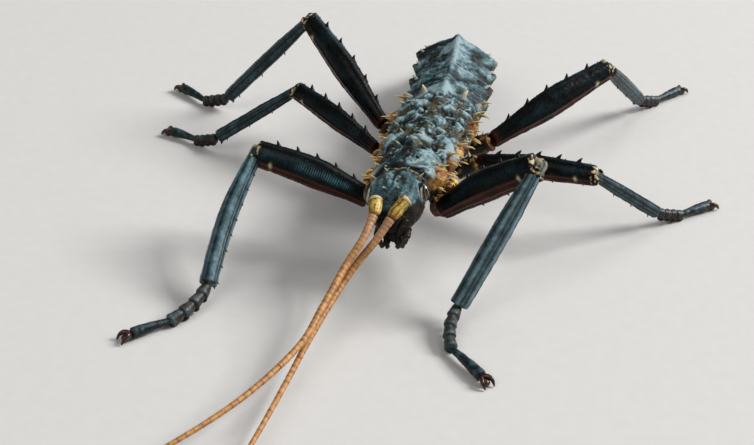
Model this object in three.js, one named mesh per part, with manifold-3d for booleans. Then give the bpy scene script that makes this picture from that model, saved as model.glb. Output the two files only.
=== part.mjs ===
// A spiny, wingless stick insect, life size, standing on six feet as a still museum model.
// Millimetres, +Z up. The insect faces -Y, its left side is +X, and it stands on the plane z = 0.
import * as THREE from "three";
import { mergeVertices } from "three/addons/utils/BufferGeometryUtils.js";
import Module from "manifold-3d";

const wasm = await Module();
wasm.setup();

// ---------- driving dimensions ----------

// The pose is laid out about the middle of the thorax, then moved so that the box of the whole
// insect is centred over the origin.
const LAYOUT_SHIFT = new THREE.Vector3(2.9, 9.3, 0);
const GAP = 0.3; // left between neighbouring pieces
const HALF_GAP = GAP / 2;

// The body's plates, head to tail: where each starts and ends along Y, and how many facets go round it.
const HEAD = { front: -20.6, back: -13.4, middleZ: 12.4 };
const PLATES = [
  { name: "prothorax", from: -13.1, to: -7.5, sides: 16 },
  { name: "mesothorax", from: -7.2, to: 4.6, sides: 16 },
  { name: "metathorax", from: 4.9, to: 13.5, sides: 16 },
  { name: "abdomen_2", from: 13.8, to: 19.2, sides: 12 },
  { name: "abdomen_3", from: 19.5, to: 25.0, sides: 12 },
  { name: "abdomen_4", from: 25.3, to: 30.8, sides: 12 },
  { name: "abdomen_5", from: 31.1, to: 36.3, sides: 12 },
  { name: "abdomen_6", from: 36.6, to: 41.0, sides: 12 },
  { name: "abdomen_7", from: 41.3, to: 44.8, sides: 12 },
  { name: "abdomen_8", from: 45.1, to: 48.0, sides: 12 },
  { name: "abdomen_9", from: 48.3, to: 50.7, sides: 12 },
  { name: "abdomen_10", from: 51.0, to: 53.2, sides: 12 },
];
const TAIL_END = 53.2;

// Along the body: [Y, half width, height of the back over the middle line, depth of the belly under it].
const GIRTH = [
  [-13.4, 4.4, 4.1, 3.4],
  [-8.0, 5.0, 4.4, 3.8],
  [-7.0, 5.1, 4.6, 3.9],
  [4.6, 6.4, 4.4, 4.2],
  [13.6, 6.3, 4.0, 4.2],
  [22.0, 6.4, 4.2, 4.1],
  [31.0, 6.5, 4.5, 3.9],
  [37.0, 6.4, 4.4, 3.6],
  [42.0, 5.6, 3.3, 2.9],
  [46.0, 4.0, 2.5, 2.3],
  [50.0, 2.7, 1.8, 1.6],
  [TAIL_END, 1.5, 1.1, 0.9],
];
const THORAX_MIDDLE_Z = 11.6; // of the middle line at Y 0
const THORAX_SLOPE = -0.032; // it falls gently towards the tail
const DROOP = { from: 35.5, to: 54, fall: 7.4 }; // the tail bends down to the ground
const SIDE_BEND = { from: 13.5, rate: 0.0031 }; // the abdomen swings to the insect's right
const NECK_BEND = { from: -7, to: -15, reach: -0.45 }; // and so does the neck, a little
// The head leans over to the right, and the thorax untwists it: the lean in degrees, from Y to Y.
const LEAN = { angle: 10, from: -13, to: 6 };

// Legs: where the femur springs from the trochanter, the knee, the ankle, the bend of the foot
// before its long last joint, and the root of the claws. Swing curves the shank outwards.
const LEGS = {
  front_right: { base: [-5.6, -13.0, 9.35], knee: [-23.3, -12.8, 14.3], ankle: [-24.8, -32.6, 2.9], bend: [-28.1, -40.1, 1.0], tip: [-32.2, -44.3, 0.95], kind: "front", swing: 0.9 },
  front_left: { base: [5.6, -13.0, 9.35], knee: [19.7, -16.7, 21.0], ankle: [11.3, -28.2, 3.0], bend: [11.9, -35.6, 1.0], tip: [17.2, -40.7, 0.95], kind: "front" },
  middle_right: { base: [-8.3, 2.8, 9.1], knee: [-24.7, 14.2, 11.6], ankle: [-37.7, 10.2, 2.7], bend: [-42.1, 11.5, 1.0], tip: [-46.9, 13.1, 0.95], kind: "middle" },
  middle_left: { base: [8.3, 3.3, 9.1], knee: [27.2, -1.6, 12.3], ankle: [37.0, 6.4, 2.7], bend: [40.9, 9.7, 1.0], tip: [44.9, 13.8, 0.95], kind: "middle" },
  hind_right: { base: [-9.2, 11.6, 8.8], knee: [-25.7, 25.7, 19.4], ankle: [-40.5, 24.8, 2.8], bend: [-45.4, 25.8, 1.0], tip: [-50.6, 29.2, 0.95], kind: "hind" },
  hind_left: { base: [9.2, 11.4, 8.8], knee: [25.5, 28.1, 16.2], ankle: [30.8, 45.0, 2.8], bend: [34.0, 49.4, 1.0], tip: [37.6, 54.6, 0.95], kind: "hind" },
};

// Half heights and half widths of the leg's lengths, by the kind of leg; how far the thigh arches
// up and the foot curves inwards; and how far inwards, backwards and upwards from its end the hip
// is rooted.
const LEG_GIRTH = {
  front: { femur: [1.6, 2.4, 2.1], femurWidth: [1.2, 1.75, 1.6], tibia: [0.95, 1.4, 1.3], bow: 0.65, foot: 0.92, footSwing: 0.7, hipRoot: [1.0, 4.0, 0.8] },
  middle: { femur: [1.2, 1.9, 1.55], femurWidth: [0.95, 1.5, 1.35], tibia: [0.65, 0.95, 1.0], bow: 0.25, foot: 0.74, footSwing: 0, hipRoot: [3.6, 0, -2.2] },
  hind: { femur: [1.45, 2.55, 1.85], femurWidth: [1.1, 1.9, 1.5], tibia: [0.75, 1.15, 1.1], bow: 0.25, foot: 0.78, footSwing: 0, hipRoot: [3.6, 0, -2.2] },
};
const FEMUR_SQUARE = 1.12; // over 1 is a rounded diamond, with its ridges on top, below and at the sides
const THORN_LEAN = 24; // degrees that the upper thorns stand behind the top ridge
const KNEE_LOBE = 0.2; // how far the thigh's cheeks reach past the middle of the knee
const KNEE_HEAD = 1.3; // how far the shank's head reaches back past it
const FEMUR_SIDES = 8;
const TIBIA_SIDES = 8;
const FOOT_SIDES = 5;
const TOE_JOINTS = 4; // short padded joints before the long last one
const CLAW = { length: 1.6, spread: 0.62 };

// Feelers: the root on the face, the end of the thick first joint, then points on the way to the tip.
const FEELERS = {
  right: [[-2.9, -19.8, 14.0], [-2.6, -23.0, 12.9], [-3.3, -26.3, 10.8], [-4.9, -30.3, 8.2], [-6.2, -37.9, 6.0], [-7.3, -45.9, 4.9], [-11.5, -56.9, 3.9], [-17.8, -67.3, 3.0], [-24.6, -75.6, 2.4]],
  left: [[1.6, -19.8, 14.7], [0.0, -23.2, 12.9], [-1.8, -25.6, 10.0], [-4.2, -28.4, 6.8], [-6.0, -35.0, 4.4], [-6.9, -43.4, 3.5], [-7.4, -52.0, 3.0], [-8.3, -64.0, 2.4], [-9.6, -74.6, 2.0]],
};
const FEELER = { scape: 1.0, start: 0.62, end: 0.3, splitAt: 0.5, sides: 6 };

// Spines on the back and sides: plate, side-to-side angle from the flank (90 is the mid-line),
// place along the plate from 0 to 1, length, root radius, and lean towards the tail.
const SPINES = [
  { plate: "prothorax", angle: 14, at: 0.22, length: 2.0, radius: 0.42, lean: -0.5 },
  { plate: "prothorax", angle: 6, at: 0.6, length: 2.4, radius: 0.5, lean: 0.0 },
  { plate: "prothorax", angle: 62, at: 0.12, length: 0.8, radius: 0.5, lean: -0.3 },
  { plate: "prothorax", angle: 58, at: 0.85, length: 0.7, radius: 0.5, lean: 0.2 },
  { plate: "mesothorax", angle: 12, at: 0.08, length: 1.9, radius: 0.5, lean: -0.4 },
  { plate: "mesothorax", angle: 8, at: 0.36, length: 1.6, radius: 0.45, lean: 0.0 },
  { plate: "mesothorax", angle: 10, at: 0.64, length: 2.0, radius: 0.5, lean: 0.2 },
  { plate: "mesothorax", angle: 66, at: 0.1, length: 1.2, radius: 0.6, lean: -0.2 },
  { plate: "mesothorax", angle: 60, at: 0.5, length: 1.0, radius: 0.6, lean: 0.2 },
  { plate: "mesothorax", angle: 42, at: 0.78, length: 1.1, radius: 0.55, lean: 0.4 },
  { plate: "metathorax", angle: 12, at: 0.2, length: 1.7, radius: 0.5, lean: 0.2 },
  { plate: "metathorax", angle: 60, at: 0.4, length: 0.8, radius: 0.6, lean: 0.2 },
  { plate: "metathorax", angle: 26, at: 0.8, length: 1.3, radius: 0.55, lean: 0.6 },
  { plate: "abdomen_2", angle: 62, at: 0.42, length: 1.4, radius: 0.6, lean: 0.6 },
  { plate: "abdomen_2", angle: 22, at: 0.5, length: 1.6, radius: 0.6, lean: 0.7 },
  { plate: "abdomen_3", angle: 24, at: 0.8, length: 1.3, radius: 0.6, lean: 0.8 },
  { plate: "abdomen_4", angle: 24, at: 0.8, length: 1.3, radius: 0.6, lean: 0.8 },
  { plate: "abdomen_5", angle: 24, at: 0.8, length: 1.2, radius: 0.6, lean: 0.8 },
  { plate: "abdomen_6", angle: 24, at: 0.8, length: 1.0, radius: 0.5, lean: 0.8 },
  { plate: "abdomen_7", angle: 24, at: 0.8, length: 0.7, radius: 0.4, lean: 0.8 },
];

// Rounded lobes on the flanks over the hips: plate, angle, place along the plate, and radius.
const LOBES = [
  { plate: "prothorax", angle: 6, at: 0.5, radius: 1.6 },
  { plate: "mesothorax", angle: 8, at: 0.2, radius: 1.35 },
  { plate: "mesothorax", angle: 10, at: 0.5, radius: 1.15 },
  { plate: "metathorax", angle: 12, at: 0.3, radius: 1.15 },
];

// ---------- materials ----------

const finish = (color, roughness) => new THREE.MeshStandardMaterial({ color, roughness, metalness: 0 });
const CUTICLE = finish("#3c4850", 0.45);
const LEG_BLACK = finish("#1d252b", 0.35);
const JOINT_ORANGE = finish("#a8701f", 0.5);
const FEELER_YELLOW = finish("#b2902e", 0.5);
const FEELER_BROWN = finish("#8a5018", 0.5);
const CLAW_BROWN = finish("#5a2c14", 0.35);
const EYE_BLACK = finish("#15130f", 0.15);
const MOUTH_DARK = finish("#2a211c", 0.4);

// ---------- shape helpers ----------

const vector = (p) => new THREE.Vector3(...p);
const mix = (a, b, t) => a + (b - a) * t;
const smooth = (t) => THREE.MathUtils.smoothstep(t, 0, 1);
const signedPower = (v, e) => Math.sign(v) * Math.abs(v) ** e;

// A closed geometry as a solid, its faces turned outwards.
function solid(geometry) {
  const bare = geometry.clone();
  bare.deleteAttribute("normal");
  bare.deleteAttribute("uv");
  const merged = mergeVertices(bare, 1e-4);
  const vertProperties = new Float32Array(merged.getAttribute("position").array);
  const make = (triVerts) => new wasm.Manifold(new wasm.Mesh({ numProp: 3, vertProperties, triVerts }));
  const made = make(new Uint32Array(merged.index.array));
  if (made.volume() > 0) return made;
  return make(new Uint32Array(merged.index.array).reverse());
}

function geometryOf(manifold) {
  const mesh = manifold.getMesh();
  const geometry = new THREE.BufferGeometry();
  geometry.setAttribute("position", new THREE.BufferAttribute(mesh.vertProperties, 3));
  geometry.setIndex(new THREE.BufferAttribute(mesh.triVerts, 1));
  geometry.computeVertexNormals();
  return geometry;
}

const join = (solids) => solids.reduce((all, one) => all.add(one));

// A capped skin: a cylinder's rings are carried along t from 0 to 1, and place(t, angle, reach)
// says where the point at that angle goes, with reach 1 on the skin and 0 at a cap's centre.
function loft(rings, sides, place) {
  const geometry = new THREE.CylinderGeometry(1, 1, 1, sides, rings);
  const position = geometry.getAttribute("position");
  for (let i = 0; i < position.count; i++) {
    const reach = Math.hypot(position.getX(i), position.getZ(i));
    const angle = Math.atan2(position.getX(i), position.getZ(i));
    const p = place(0.5 - position.getY(i), angle, reach);
    position.setXYZ(i, p.x, p.y, p.z);
  }
  return solid(geometry);
}

// The two directions across a limb that runs from one point to another: sideways, and up as seen
// from the side.
function acrossLimb(along, upHint = new THREE.Vector3(0, 0, 1)) {
  const side = new THREE.Vector3().crossVectors(along, upHint).normalize();
  return { side, up: new THREE.Vector3().crossVectors(side, along).normalize() };
}

// A limb with a four-ridged section: halfHeight and halfWidth are functions of t. Sag, also a
// function of t, deepens its underside, bow arches its middle line upwards and swing sideways.
const LEVEL = () => 1;
function limb(start, end, halfHeight, halfWidth, options = {}) {
  const { rings = 5, sides = 8, square = 0.8, grow = 0, sag = LEVEL, bow = 0, swing = 0 } = options;
  const along = end.clone().sub(start);
  const length = along.length();
  along.normalize();
  const { side, up } = acrossLimb(along);
  return loft(rings, sides, (t, angle, reach) => {
    const across = signedPower(Math.sin(angle), square) * (halfWidth(t) + grow) * reach;
    const under = Math.cos(angle) < 0 ? sag(t) : 1;
    const rise = signedPower(Math.cos(angle), square) * (halfHeight(t) * under + grow) * reach;
    const onAxis = start.clone().addScaledVector(along, mix(-grow, length + grow, t));
    const arch = Math.sin(Math.PI * t);
    return onAxis.addScaledVector(side, across + swing * arch).addScaledVector(up, rise + bow * arch);
  });
}

// A round tube along a curve, between the shares `from` and `to` of its length.
function tube(curve, radius, rings, sides, from = 0, to = 1) {
  return loft(rings, sides, (t, angle, reach) => {
    const u = mix(from, to, t);
    const { side, up } = acrossLimb(curve.getTangentAt(u));
    const r = radius(u) * reach;
    return curve.getPointAt(u).addScaledVector(side, Math.sin(angle) * r).addScaledVector(up, Math.cos(angle) * r);
  });
}

// Values at 0, 0.5 and 1 joined by a smooth curve.
const threePoint = ([a, b, c]) => (t) => (t < 0.5 ? mix(a, b, smooth(t * 2)) : mix(b, c, smooth(t * 2 - 1)));

// A spine: a five-sided cone whose root is sunk into what it grows from.
function spine(root, tip, radius, sunk = 0.6, sides = 5) {
  const along = tip.clone().sub(root);
  const length = along.length() + sunk;
  along.normalize();
  const cone = new THREE.ConeGeometry(radius, length, sides);
  cone.translate(0, length / 2 - sunk, 0);
  cone.applyQuaternion(new THREE.Quaternion().setFromUnitVectors(new THREE.Vector3(0, 1, 0), along));
  cone.translate(root.x, root.y, root.z);
  return solid(cone);
}

// ---------- the body ----------

function girthAt(y) {
  let i = 0;
  while (i < GIRTH.length - 2 && y > GIRTH[i + 1][0]) i++;
  const [a, b] = [GIRTH[i], GIRTH[i + 1]];
  const t = THREE.MathUtils.clamp((y - a[0]) / (b[0] - a[0]), 0, 1);
  return { width: mix(a[1], b[1], t), back: mix(a[2], b[2], t), belly: mix(a[3], b[3], t) };
}

// The body's middle line: straight through the thorax, then bent to one side and down.
function middleAt(y) {
  const bent = Math.max(0, y - SIDE_BEND.from);
  const fallen = smooth((y - DROOP.from) / (DROOP.to - DROOP.from));
  const neck = NECK_BEND.reach * smooth((y - NECK_BEND.from) / (NECK_BEND.to - NECK_BEND.from));
  return { x: neck - SIDE_BEND.rate * bent * bent, z: THORAX_MIDDLE_Z + THORAX_SLOPE * y - DROOP.fall * fallen };
}

// Moves a point measured across and up from the middle line into place, leaning with the body.
function leaned(y, across, rise) {
  const { x, z } = middleAt(y);
  const lean = THREE.MathUtils.degToRad(LEAN.angle) * (1 - smooth((y - LEAN.from) / (LEAN.to - LEAN.from)));
  const [c, n] = [Math.cos(lean), Math.sin(lean)];
  return new THREE.Vector3(x + across * c - rise * n, y, z + across * n + rise * c);
}

// A point of the body's skin at Y, with the angle measured from the left flank over the back.
// The thorax is a barrel with a low ridge down the middle, and the abdomen's back a steep roof.
const RIDGE = { height: 0.5, halfWidth: 1.1 };
const ROOF = { thorax: 0.92, abdomen: 1.15, straight: 0.6, from: 8, to: 18 };
const WAIST_SQUARE = 0.85; // under 1, the flanks are fuller than an ellipse's
function backCurve(y, angle) {
  const tail = smooth((y - ROOF.from) / (ROOF.to - ROOF.from));
  const roundBack = Math.sin(angle) ** mix(ROOF.thorax, ROOF.abdomen, tail);
  const straightBack = 1 - Math.abs(Math.cos(angle)) ** (WAIST_SQUARE * 1.15);
  return mix(roundBack, straightBack, ROOF.straight * tail);
}
function bodyPoint(y, angle, reach = 1, grow = 0, swell = 1) {
  const { width, back, belly } = girthAt(y);
  const across = signedPower(Math.cos(angle), WAIST_SQUARE) * (width * swell + grow);
  const above = Math.sin(angle) > 0;
  const lift = (above ? back : belly) * swell + grow - RIDGE.height;
  const ridge = above ? RIDGE.height * Math.exp(-((across / RIDGE.halfWidth) ** 2)) : 0;
  const rise = (above ? backCurve(y, angle) : signedPower(Math.sin(angle), 0.8)) * lift + ridge;
  return leaned(y, across * reach, rise * reach);
}

// One plate: a length of the body that swells towards its hind edge and is eased in at both ends.
const PLATE_STEP = 2; // a ring for about every 2 mm of length, between 3 and 6
const plateRings = ({ from, to }) => THREE.MathUtils.clamp(Math.round((to - from) / PLATE_STEP), 3, 6);
const EDGE_EASE = 0.93;
function plateSwell(t) {
  const ends = Math.min(1, Math.min(t, 1 - t) / 0.16);
  return mix(EDGE_EASE, 1, smooth(ends)) * mix(0.985, 1.02, t);
}

function spineOnPlate(plate, side, { angle, at, length, radius, lean }) {
  const y = mix(plate.from, plate.to, at);
  const a = THREE.MathUtils.degToRad(angle);
  const root = bodyPoint(y, side > 0 ? a : Math.PI - a);
  const out = new THREE.Vector3(side * Math.cos(a), lean, Math.sin(a)).normalize();
  return spine(root, root.clone().addScaledVector(out, length), radius);
}

function lobesOnPlate(plate, grow = 0) {
  const lobes = LOBES.filter((l) => l.plate === plate.name);
  return lobes.flatMap(({ angle, at, radius }) =>
    [angle, 180 - angle].map((degrees) => {
      const y = mix(plate.from, plate.to, at);
      const centre = bodyPoint(y, THREE.MathUtils.degToRad(degrees), 0.97);
      return ball(centre, radius, [0.9, 1.15, 0.8], grow, 6);
    }),
  );
}

function plateSolid(plate, grow = 0) {
  return loft(plateRings(plate), plate.sides, (t, angle, reach) =>
    bodyPoint(mix(plate.from - grow, plate.to + grow, t), angle, reach, grow, plateSwell(t)),
  );
}

function plateWithSpines(plate) {
  const spines = SPINES.filter((s) => s.plate === plate.name);
  const both = spines.flatMap((s) => [spineOnPlate(plate, 1, s), spineOnPlate(plate, -1, s)]);
  return join([plateSolid(plate), ...lobesOnPlate(plate), ...both]);
}

// ---------- the head ----------

// Points of the head are measured from its own middle plane, then leaned with the neck.
const headPlace = (x, y, z) => leaned(y, x, z - middleAt(y).z);

// The capsule is flat on top, widest at the eyes, and its face slopes forward to the mouth.
const HEAD_WIDTH = [3.1, 3.95, 3.4]; // half widths at the face, the eyes and the neck
const HEAD_TOP = [2.7, 3.4, 3.6];
const HEAD_UNDER = [3.5, 3.6, 2.9];
const FACE_SLOPE = 1.3;
function headPoint(t, angle, reach, grow = 0) {
  const ends = mix(0.8, 1, smooth(Math.min(t, 1 - t) * 6));
  const width = threePoint(HEAD_WIDTH)(t) * ends + grow;
  const top = threePoint(HEAD_TOP)(t) * ends + grow;
  const under = threePoint(HEAD_UNDER)(t) * ends + grow;
  const across = signedPower(Math.cos(angle), 0.7) * width * reach;
  const rise = signedPower(Math.sin(angle), 0.7) * (Math.sin(angle) > 0 ? top : under) * reach;
  const forward = FACE_SLOPE * (1 - t) ** 2 * Math.max(0, -rise / under);
  return headPlace(across, mix(HEAD.front - grow, HEAD.back + grow, t) - forward, HEAD.middleZ + rise);
}

const EYE = { place: [3.95, -16.6, 13.3], radius: 1.4, stretch: [0.8, 1, 1.15] };
const HEAD_SPINES = [
  { root: [1.0, -19.0, 15.3], tip: [1.15, -19.6, 16.2], radius: 0.4 },
  { root: [1.6, -14.6, 15.6], tip: [1.9, -14.6, 16.7], radius: 0.5 },
  { root: [3.3, -15.6, 14.9], tip: [4.2, -15.4, 16.0], radius: 0.5 },
];

const mirrored = ([x, y, z], side) => headPlace(side * x, y, z);
const SIDES = { left: 1, right: -1 };

function ball(centre, radius, stretch = [1, 1, 1], grow = 0, segments = 8) {
  const sphere = new THREE.SphereGeometry(1, segments, Math.round(segments * 0.66));
  sphere.scale(...stretch.map((s) => s * radius + grow));
  sphere.translate(centre.x, centre.y, centre.z);
  return solid(sphere);
}

const eyeBall = (side, grow = 0) => ball(mirrored(EYE.place, side), EYE.radius, EYE.stretch, grow);

// The jaws and lips under the face, with a pair of stubby palps.
const MOUTH = { top: [0.1, -19.9, 10.9], bottom: [0.3, -22.6, 8.8], width: [2.2, 2.2, 1.3], depth: [1.7, 1.6, 0.9] };
const PALP = [[1.4, -21.4, 10.0], [2.9, -23.0, 9.9], [1.5, -23.3, 7.7]];
function mouthSolid() {
  const [top, bottom] = [mirrored(MOUTH.top, 1), mirrored(MOUTH.bottom, 1)];
  const jaws = limb(top, bottom, threePoint(MOUTH.depth), threePoint(MOUTH.width), { rings: 3, sides: 8 });
  const palps = Object.values(SIDES).map((side) => {
    const [root, elbow, end] = PALP.map((p) => mirrored(p, side));
    return tube(new THREE.QuadraticBezierCurve3(root, elbow, end), () => 0.42, 3, 5);
  });
  return join([jaws, ...palps]);
}

const headShell = (grow = 0) => loft(6, 14, (t, angle, reach) => headPoint(t, angle, reach, grow));

// ---------- the feelers ----------

const feelerRadius = (t) => mix(FEELER.start, FEELER.end, t ** 0.8);

// A length of the feeler: a tube along a smooth curve that tapers to the tip.
function feelerLength(points, from, to, rings) {
  const curve = new THREE.CatmullRomCurve3(points.slice(1).map(vector));
  const clear = HALF_GAP / curve.getLength();
  return tube(curve, feelerRadius, rings, FEELER.sides, from + clear, to === 1 ? 1 : to - clear);
}

function scape(points) {
  const [root, end] = points.map(vector);
  const thick = (t) => FEELER.scape * mix(0.72, 1, smooth(t * 4)) * mix(1, 0.72, smooth(t * 2 - 1));
  return limb(root, end, (t) => thick(t) * 0.8, thick, { rings: 4, sides: 10, square: 1 });
}

// ---------- the legs ----------

function legParts(name, leg) {
  const girth = LEG_GIRTH[leg.kind];
  const [base, knee, ankle, bend, tip] = [leg.base, leg.knee, leg.ankle, leg.bend, leg.tip].map(vector);
  return { name, girth, base, knee, ankle, bend, tip, side: Math.sign(base.x), swing: leg.swing ?? 0 };
}

// The hip: a stout cone that comes out of the flank, with the ring of the trochanter at its end.
function hip({ base, knee, girth, side }, grow = 0) {
  const [inwards, backwards, upwards] = girth.hipRoot;
  const root = new THREE.Vector3(base.x - side * inwards, base.y + backwards, base.z + upwards);
  const end = base.clone().addScaledVector(knee.clone().sub(base).normalize(), -HALF_GAP);
  const thick = (t) => mix(1.6, girth.femur[0] * 1.1, smooth(t));
  return limb(root, end, thick, thick, { rings: 3, sides: 10, square: 1, grow });
}

function shank({ knee, ankle, girth, swing }, grow = 0) {
  const thick = threePoint(girth.tibia);
  const along = ankle.clone().sub(knee).normalize();
  const start = knee.clone().addScaledVector(along, -KNEE_HEAD);
  return limb(start, ankle.clone().addScaledVector(along, -HALF_GAP), (t) => thick(t) * mix(1.15, 0.95, smooth(t * 3)), thick, {
    rings: 4,
    sides: TIBIA_SIDES,
    grow,
    swing,
  });
}

// Thorns along a limb's upper and lower ridges, leaning towards its end. Lean turns the row
// from the ridge towards the tail, in degrees.
function thorns(start, end, halfHeight, count, size, rowSign, from, to, { lean = 0, bow = 0 } = {}) {
  const along = end.clone().sub(start);
  const length = along.length();
  along.normalize();
  const { side, up } = acrossLimb(along);
  const a = THREE.MathUtils.degToRad(lean);
  const ridge = up.clone().multiplyScalar(rowSign * Math.cos(a)).addScaledVector(side, Math.sign(side.y) * Math.sin(a));
  return Array.from({ length: count }, (_, i) => {
    const t = mix(from, to, i / (count - 1));
    const onAxis = start.clone().addScaledVector(along, t * length).addScaledVector(up, bow * Math.sin(Math.PI * t));
    const root = onAxis.addScaledVector(ridge, halfHeight(t) * mix(0.95, 0.85, Math.min(1, lean / 20)));
    const out = ridge.clone().addScaledVector(along, 0.55).normalize();
    return spine(root, root.clone().addScaledVector(out, size), size * 0.42, 0.4, 3);
  });
}

function thigh({ base, knee, girth }) {
  const height = threePoint(girth.femur);
  const along = knee.clone().sub(base).normalize();
  const start = base.clone().addScaledVector(along, HALF_GAP);
  const end = knee.clone().addScaledVector(along, KNEE_LOBE);
  const shell = limb(start, end, (t) => height(t) * mix(1, 0.8, smooth(t * 8 - 7)), threePoint(girth.femurWidth), {
    rings: 4,
    sides: FEMUR_SIDES,
    square: FEMUR_SQUARE,
    bow: girth.bow,
  });
  const upper = thorns(start, end, height, 5, 1.1, 1, 0.16, 0.84, { lean: THORN_LEAN, bow: girth.bow });
  const lower = thorns(start, end, height, 3, 0.75, -1, 0.35, 0.86, { bow: girth.bow });
  return join([shell, ...upper, ...lower]);
}

function shankWithThorns(leg) {
  const { knee, ankle, girth } = leg;
  const height = (t) => threePoint(girth.tibia)(t) * 0.95;
  return join([
    shank(leg),
    ...thorns(knee, ankle, height, 3, 0.6, -1, 0.35, 0.93),
  ]);
}

// A foot: four short joints, each with a pad hanging under its end, then a long one that widens
// to the claws. It is cut off flat at the ground.
function foot({ ankle, bend, tip, girth, side }) {
  const place = (n) => {
    const share = n / (TOE_JOINTS + 0.12);
    const inwards = new THREE.Vector3(-side * girth.footSwing * Math.sin(Math.PI * share), 0, 0);
    return ankle.clone().lerp(bend, share).add(inwards);
  };
  const joints = Array.from({ length: TOE_JOINTS }, (_, i) => {
    const [a, b] = [place(i + 0.06), place(i + 1.12)];
    const thick = (t) => girth.foot * mix(0.8, 1.1, t);
    const sag = (t) => mix(1, 1.9, smooth(t * 2.2) * smooth((1 - t) * 5));
    return limb(a, b, thick, thick, { rings: 2, sides: FOOT_SIDES, square: 1, sag });
  });
  const last = limb(bend.clone().lerp(tip, -0.06), tip, (t) => mix(0.5, 0.85, t), (t) => mix(0.5, 0.85, t), {
    rings: 2,
    sides: FOOT_SIDES,
    square: 1,
  });
  return aboveGround(join([...joints, last]));
}

// Two hooked claws either side of a round pad, cut flat on the ground.
function claws({ bend, tip }) {
  const along = tip.clone().sub(bend).setZ(0).normalize();
  const across = new THREE.Vector3(-along.y, along.x, 0);
  const place = (forward, aside, z) =>
    tip.clone().addScaledVector(along, GAP + forward).addScaledVector(across, aside).setZ(z);
  const pad = ball(place(0.65, 0, 0.5), 0.64, [1, 1, 0.9], 0, 6);
  const hooks = [-1, 1].map((side) => {
    const path = new THREE.QuadraticBezierCurve3(
      place(0.35, 0, 0.9),
      place(0.8, side * CLAW.spread * 1.5, 1.3),
      place(CLAW.length, side * CLAW.spread * 1.3, 0.3),
    );
    return tube(path, (t) => mix(0.4, 0.28, t), 2, 4);
  });
  return aboveGround(join([pad, ...hooks]));
}

// Everything under the ground plane is cut away.
function aboveGround(piece) {
  const slab = new THREE.BoxGeometry(400, 400, 10).translate(0, 0, -5);
  return piece.subtract(solid(slab));
}

// ---------- assembly ----------

const insect = new THREE.Group();
insect.name = "stick_insect";
insect.position.copy(LAYOUT_SHIFT);

function add(name, shape, material) {
  const mesh = new THREE.Mesh(geometryOf(shape), material);
  mesh.name = name;
  insect.add(mesh);
}

function addBody() {
  for (const plate of PLATES) add(plate.name, plateWithSpines(plate), CUTICLE);
  for (const [name, side] of Object.entries(SIDES)) {
    const { x, z } = middleAt(TAIL_END);
    const root = new THREE.Vector3(x + side * 0.75, TAIL_END + GAP, z + 0.1);
    const end = root.clone().add(new THREE.Vector3(side * 0.35, 1.3, -0.15));
    add("cercus_" + name, limb(root, end, (t) => mix(0.4, 0.28, t), (t) => mix(0.4, 0.28, t), { rings: 2, sides: 6, square: 1 }), CUTICLE);
  }
}

function addHead() {
  const spines = Object.values(SIDES).flatMap((side) =>
    HEAD_SPINES.map((s) => spine(mirrored(s.root, side), mirrored(s.tip, side), s.radius)),
  );
  const socketed = join([headShell(), ...spines])
    .subtract(eyeBall(1, GAP))
    .subtract(eyeBall(-1, GAP));
  const feelerRoots = Object.values(FEELERS).map(scape);
  add("head", socketed, CUTICLE);
  add("mouth", mouthSolid().subtract(headShell(GAP)), MOUTH_DARK);
  for (const [name, side] of Object.entries(SIDES)) {
    add("eye_" + name, eyeBall(side), EYE_BLACK);
  }
  Object.entries(FEELERS).forEach(([name, points], i) => {
    add("feeler_" + name + "_scape", feelerRoots[i].subtract(headShell(GAP)), FEELER_YELLOW);
    add("feeler_" + name + "_1", feelerLength(points, 0, FEELER.splitAt, 13), FEELER_BROWN);
    add("feeler_" + name + "_2", feelerLength(points, FEELER.splitAt, 1, 11), FEELER_BROWN);
  });
}

function addLegs() {
  const grownBody = PLATES.slice(0, 4).flatMap((plate) => [plateSolid(plate, GAP), ...lobesOnPlate(plate, GAP)]);
  for (const [name, leg] of Object.entries(LEGS)) {
    const parts = legParts(name, leg);
    const hipSolid = grownBody.reduce((shape, plate) => shape.subtract(plate), hip(parts));
    add(name + "_hip", hipSolid, JOINT_ORANGE);
    add(name + "_femur", thigh(parts).subtract(shank(parts, GAP)).subtract(hip(parts, GAP)), LEG_BLACK);
    add(name + "_tibia", shankWithThorns(parts), LEG_BLACK);
    add(name + "_foot", foot(parts).subtract(shank(parts, GAP)), LEG_BLACK);
    add(name + "_claws", claws(parts), CLAW_BROWN);
  }
}

addBody();
addHead();
addLegs();

export default insect;
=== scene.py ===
import math
from types import SimpleNamespace

import bpy
import numpy as np
from mathutils import Matrix, Vector


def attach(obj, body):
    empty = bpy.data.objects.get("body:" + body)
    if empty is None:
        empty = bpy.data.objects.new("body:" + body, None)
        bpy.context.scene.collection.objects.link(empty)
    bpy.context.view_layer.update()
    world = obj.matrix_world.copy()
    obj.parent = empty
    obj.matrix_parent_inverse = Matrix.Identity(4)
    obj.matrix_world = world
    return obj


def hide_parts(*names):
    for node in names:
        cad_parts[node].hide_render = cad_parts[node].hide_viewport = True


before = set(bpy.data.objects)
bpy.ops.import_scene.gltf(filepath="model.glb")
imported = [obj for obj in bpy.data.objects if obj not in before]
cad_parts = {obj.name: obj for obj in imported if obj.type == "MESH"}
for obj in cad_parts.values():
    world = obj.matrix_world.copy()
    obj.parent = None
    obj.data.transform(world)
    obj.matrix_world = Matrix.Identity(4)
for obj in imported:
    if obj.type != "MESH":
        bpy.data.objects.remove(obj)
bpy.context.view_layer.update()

# ---------- driving dimensions, in millimetres ----------

# The insect faces -Y and its left side is +X. It is laid out about the middle of its thorax and then
# moved by this much, so that the box of the whole insect is centred over the origin.
LAYOUT_SHIFT = np.array([2.9, 9.3, 0.0])
MM = 0.001
SIDES = {"left": 1, "right": -1}

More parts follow.
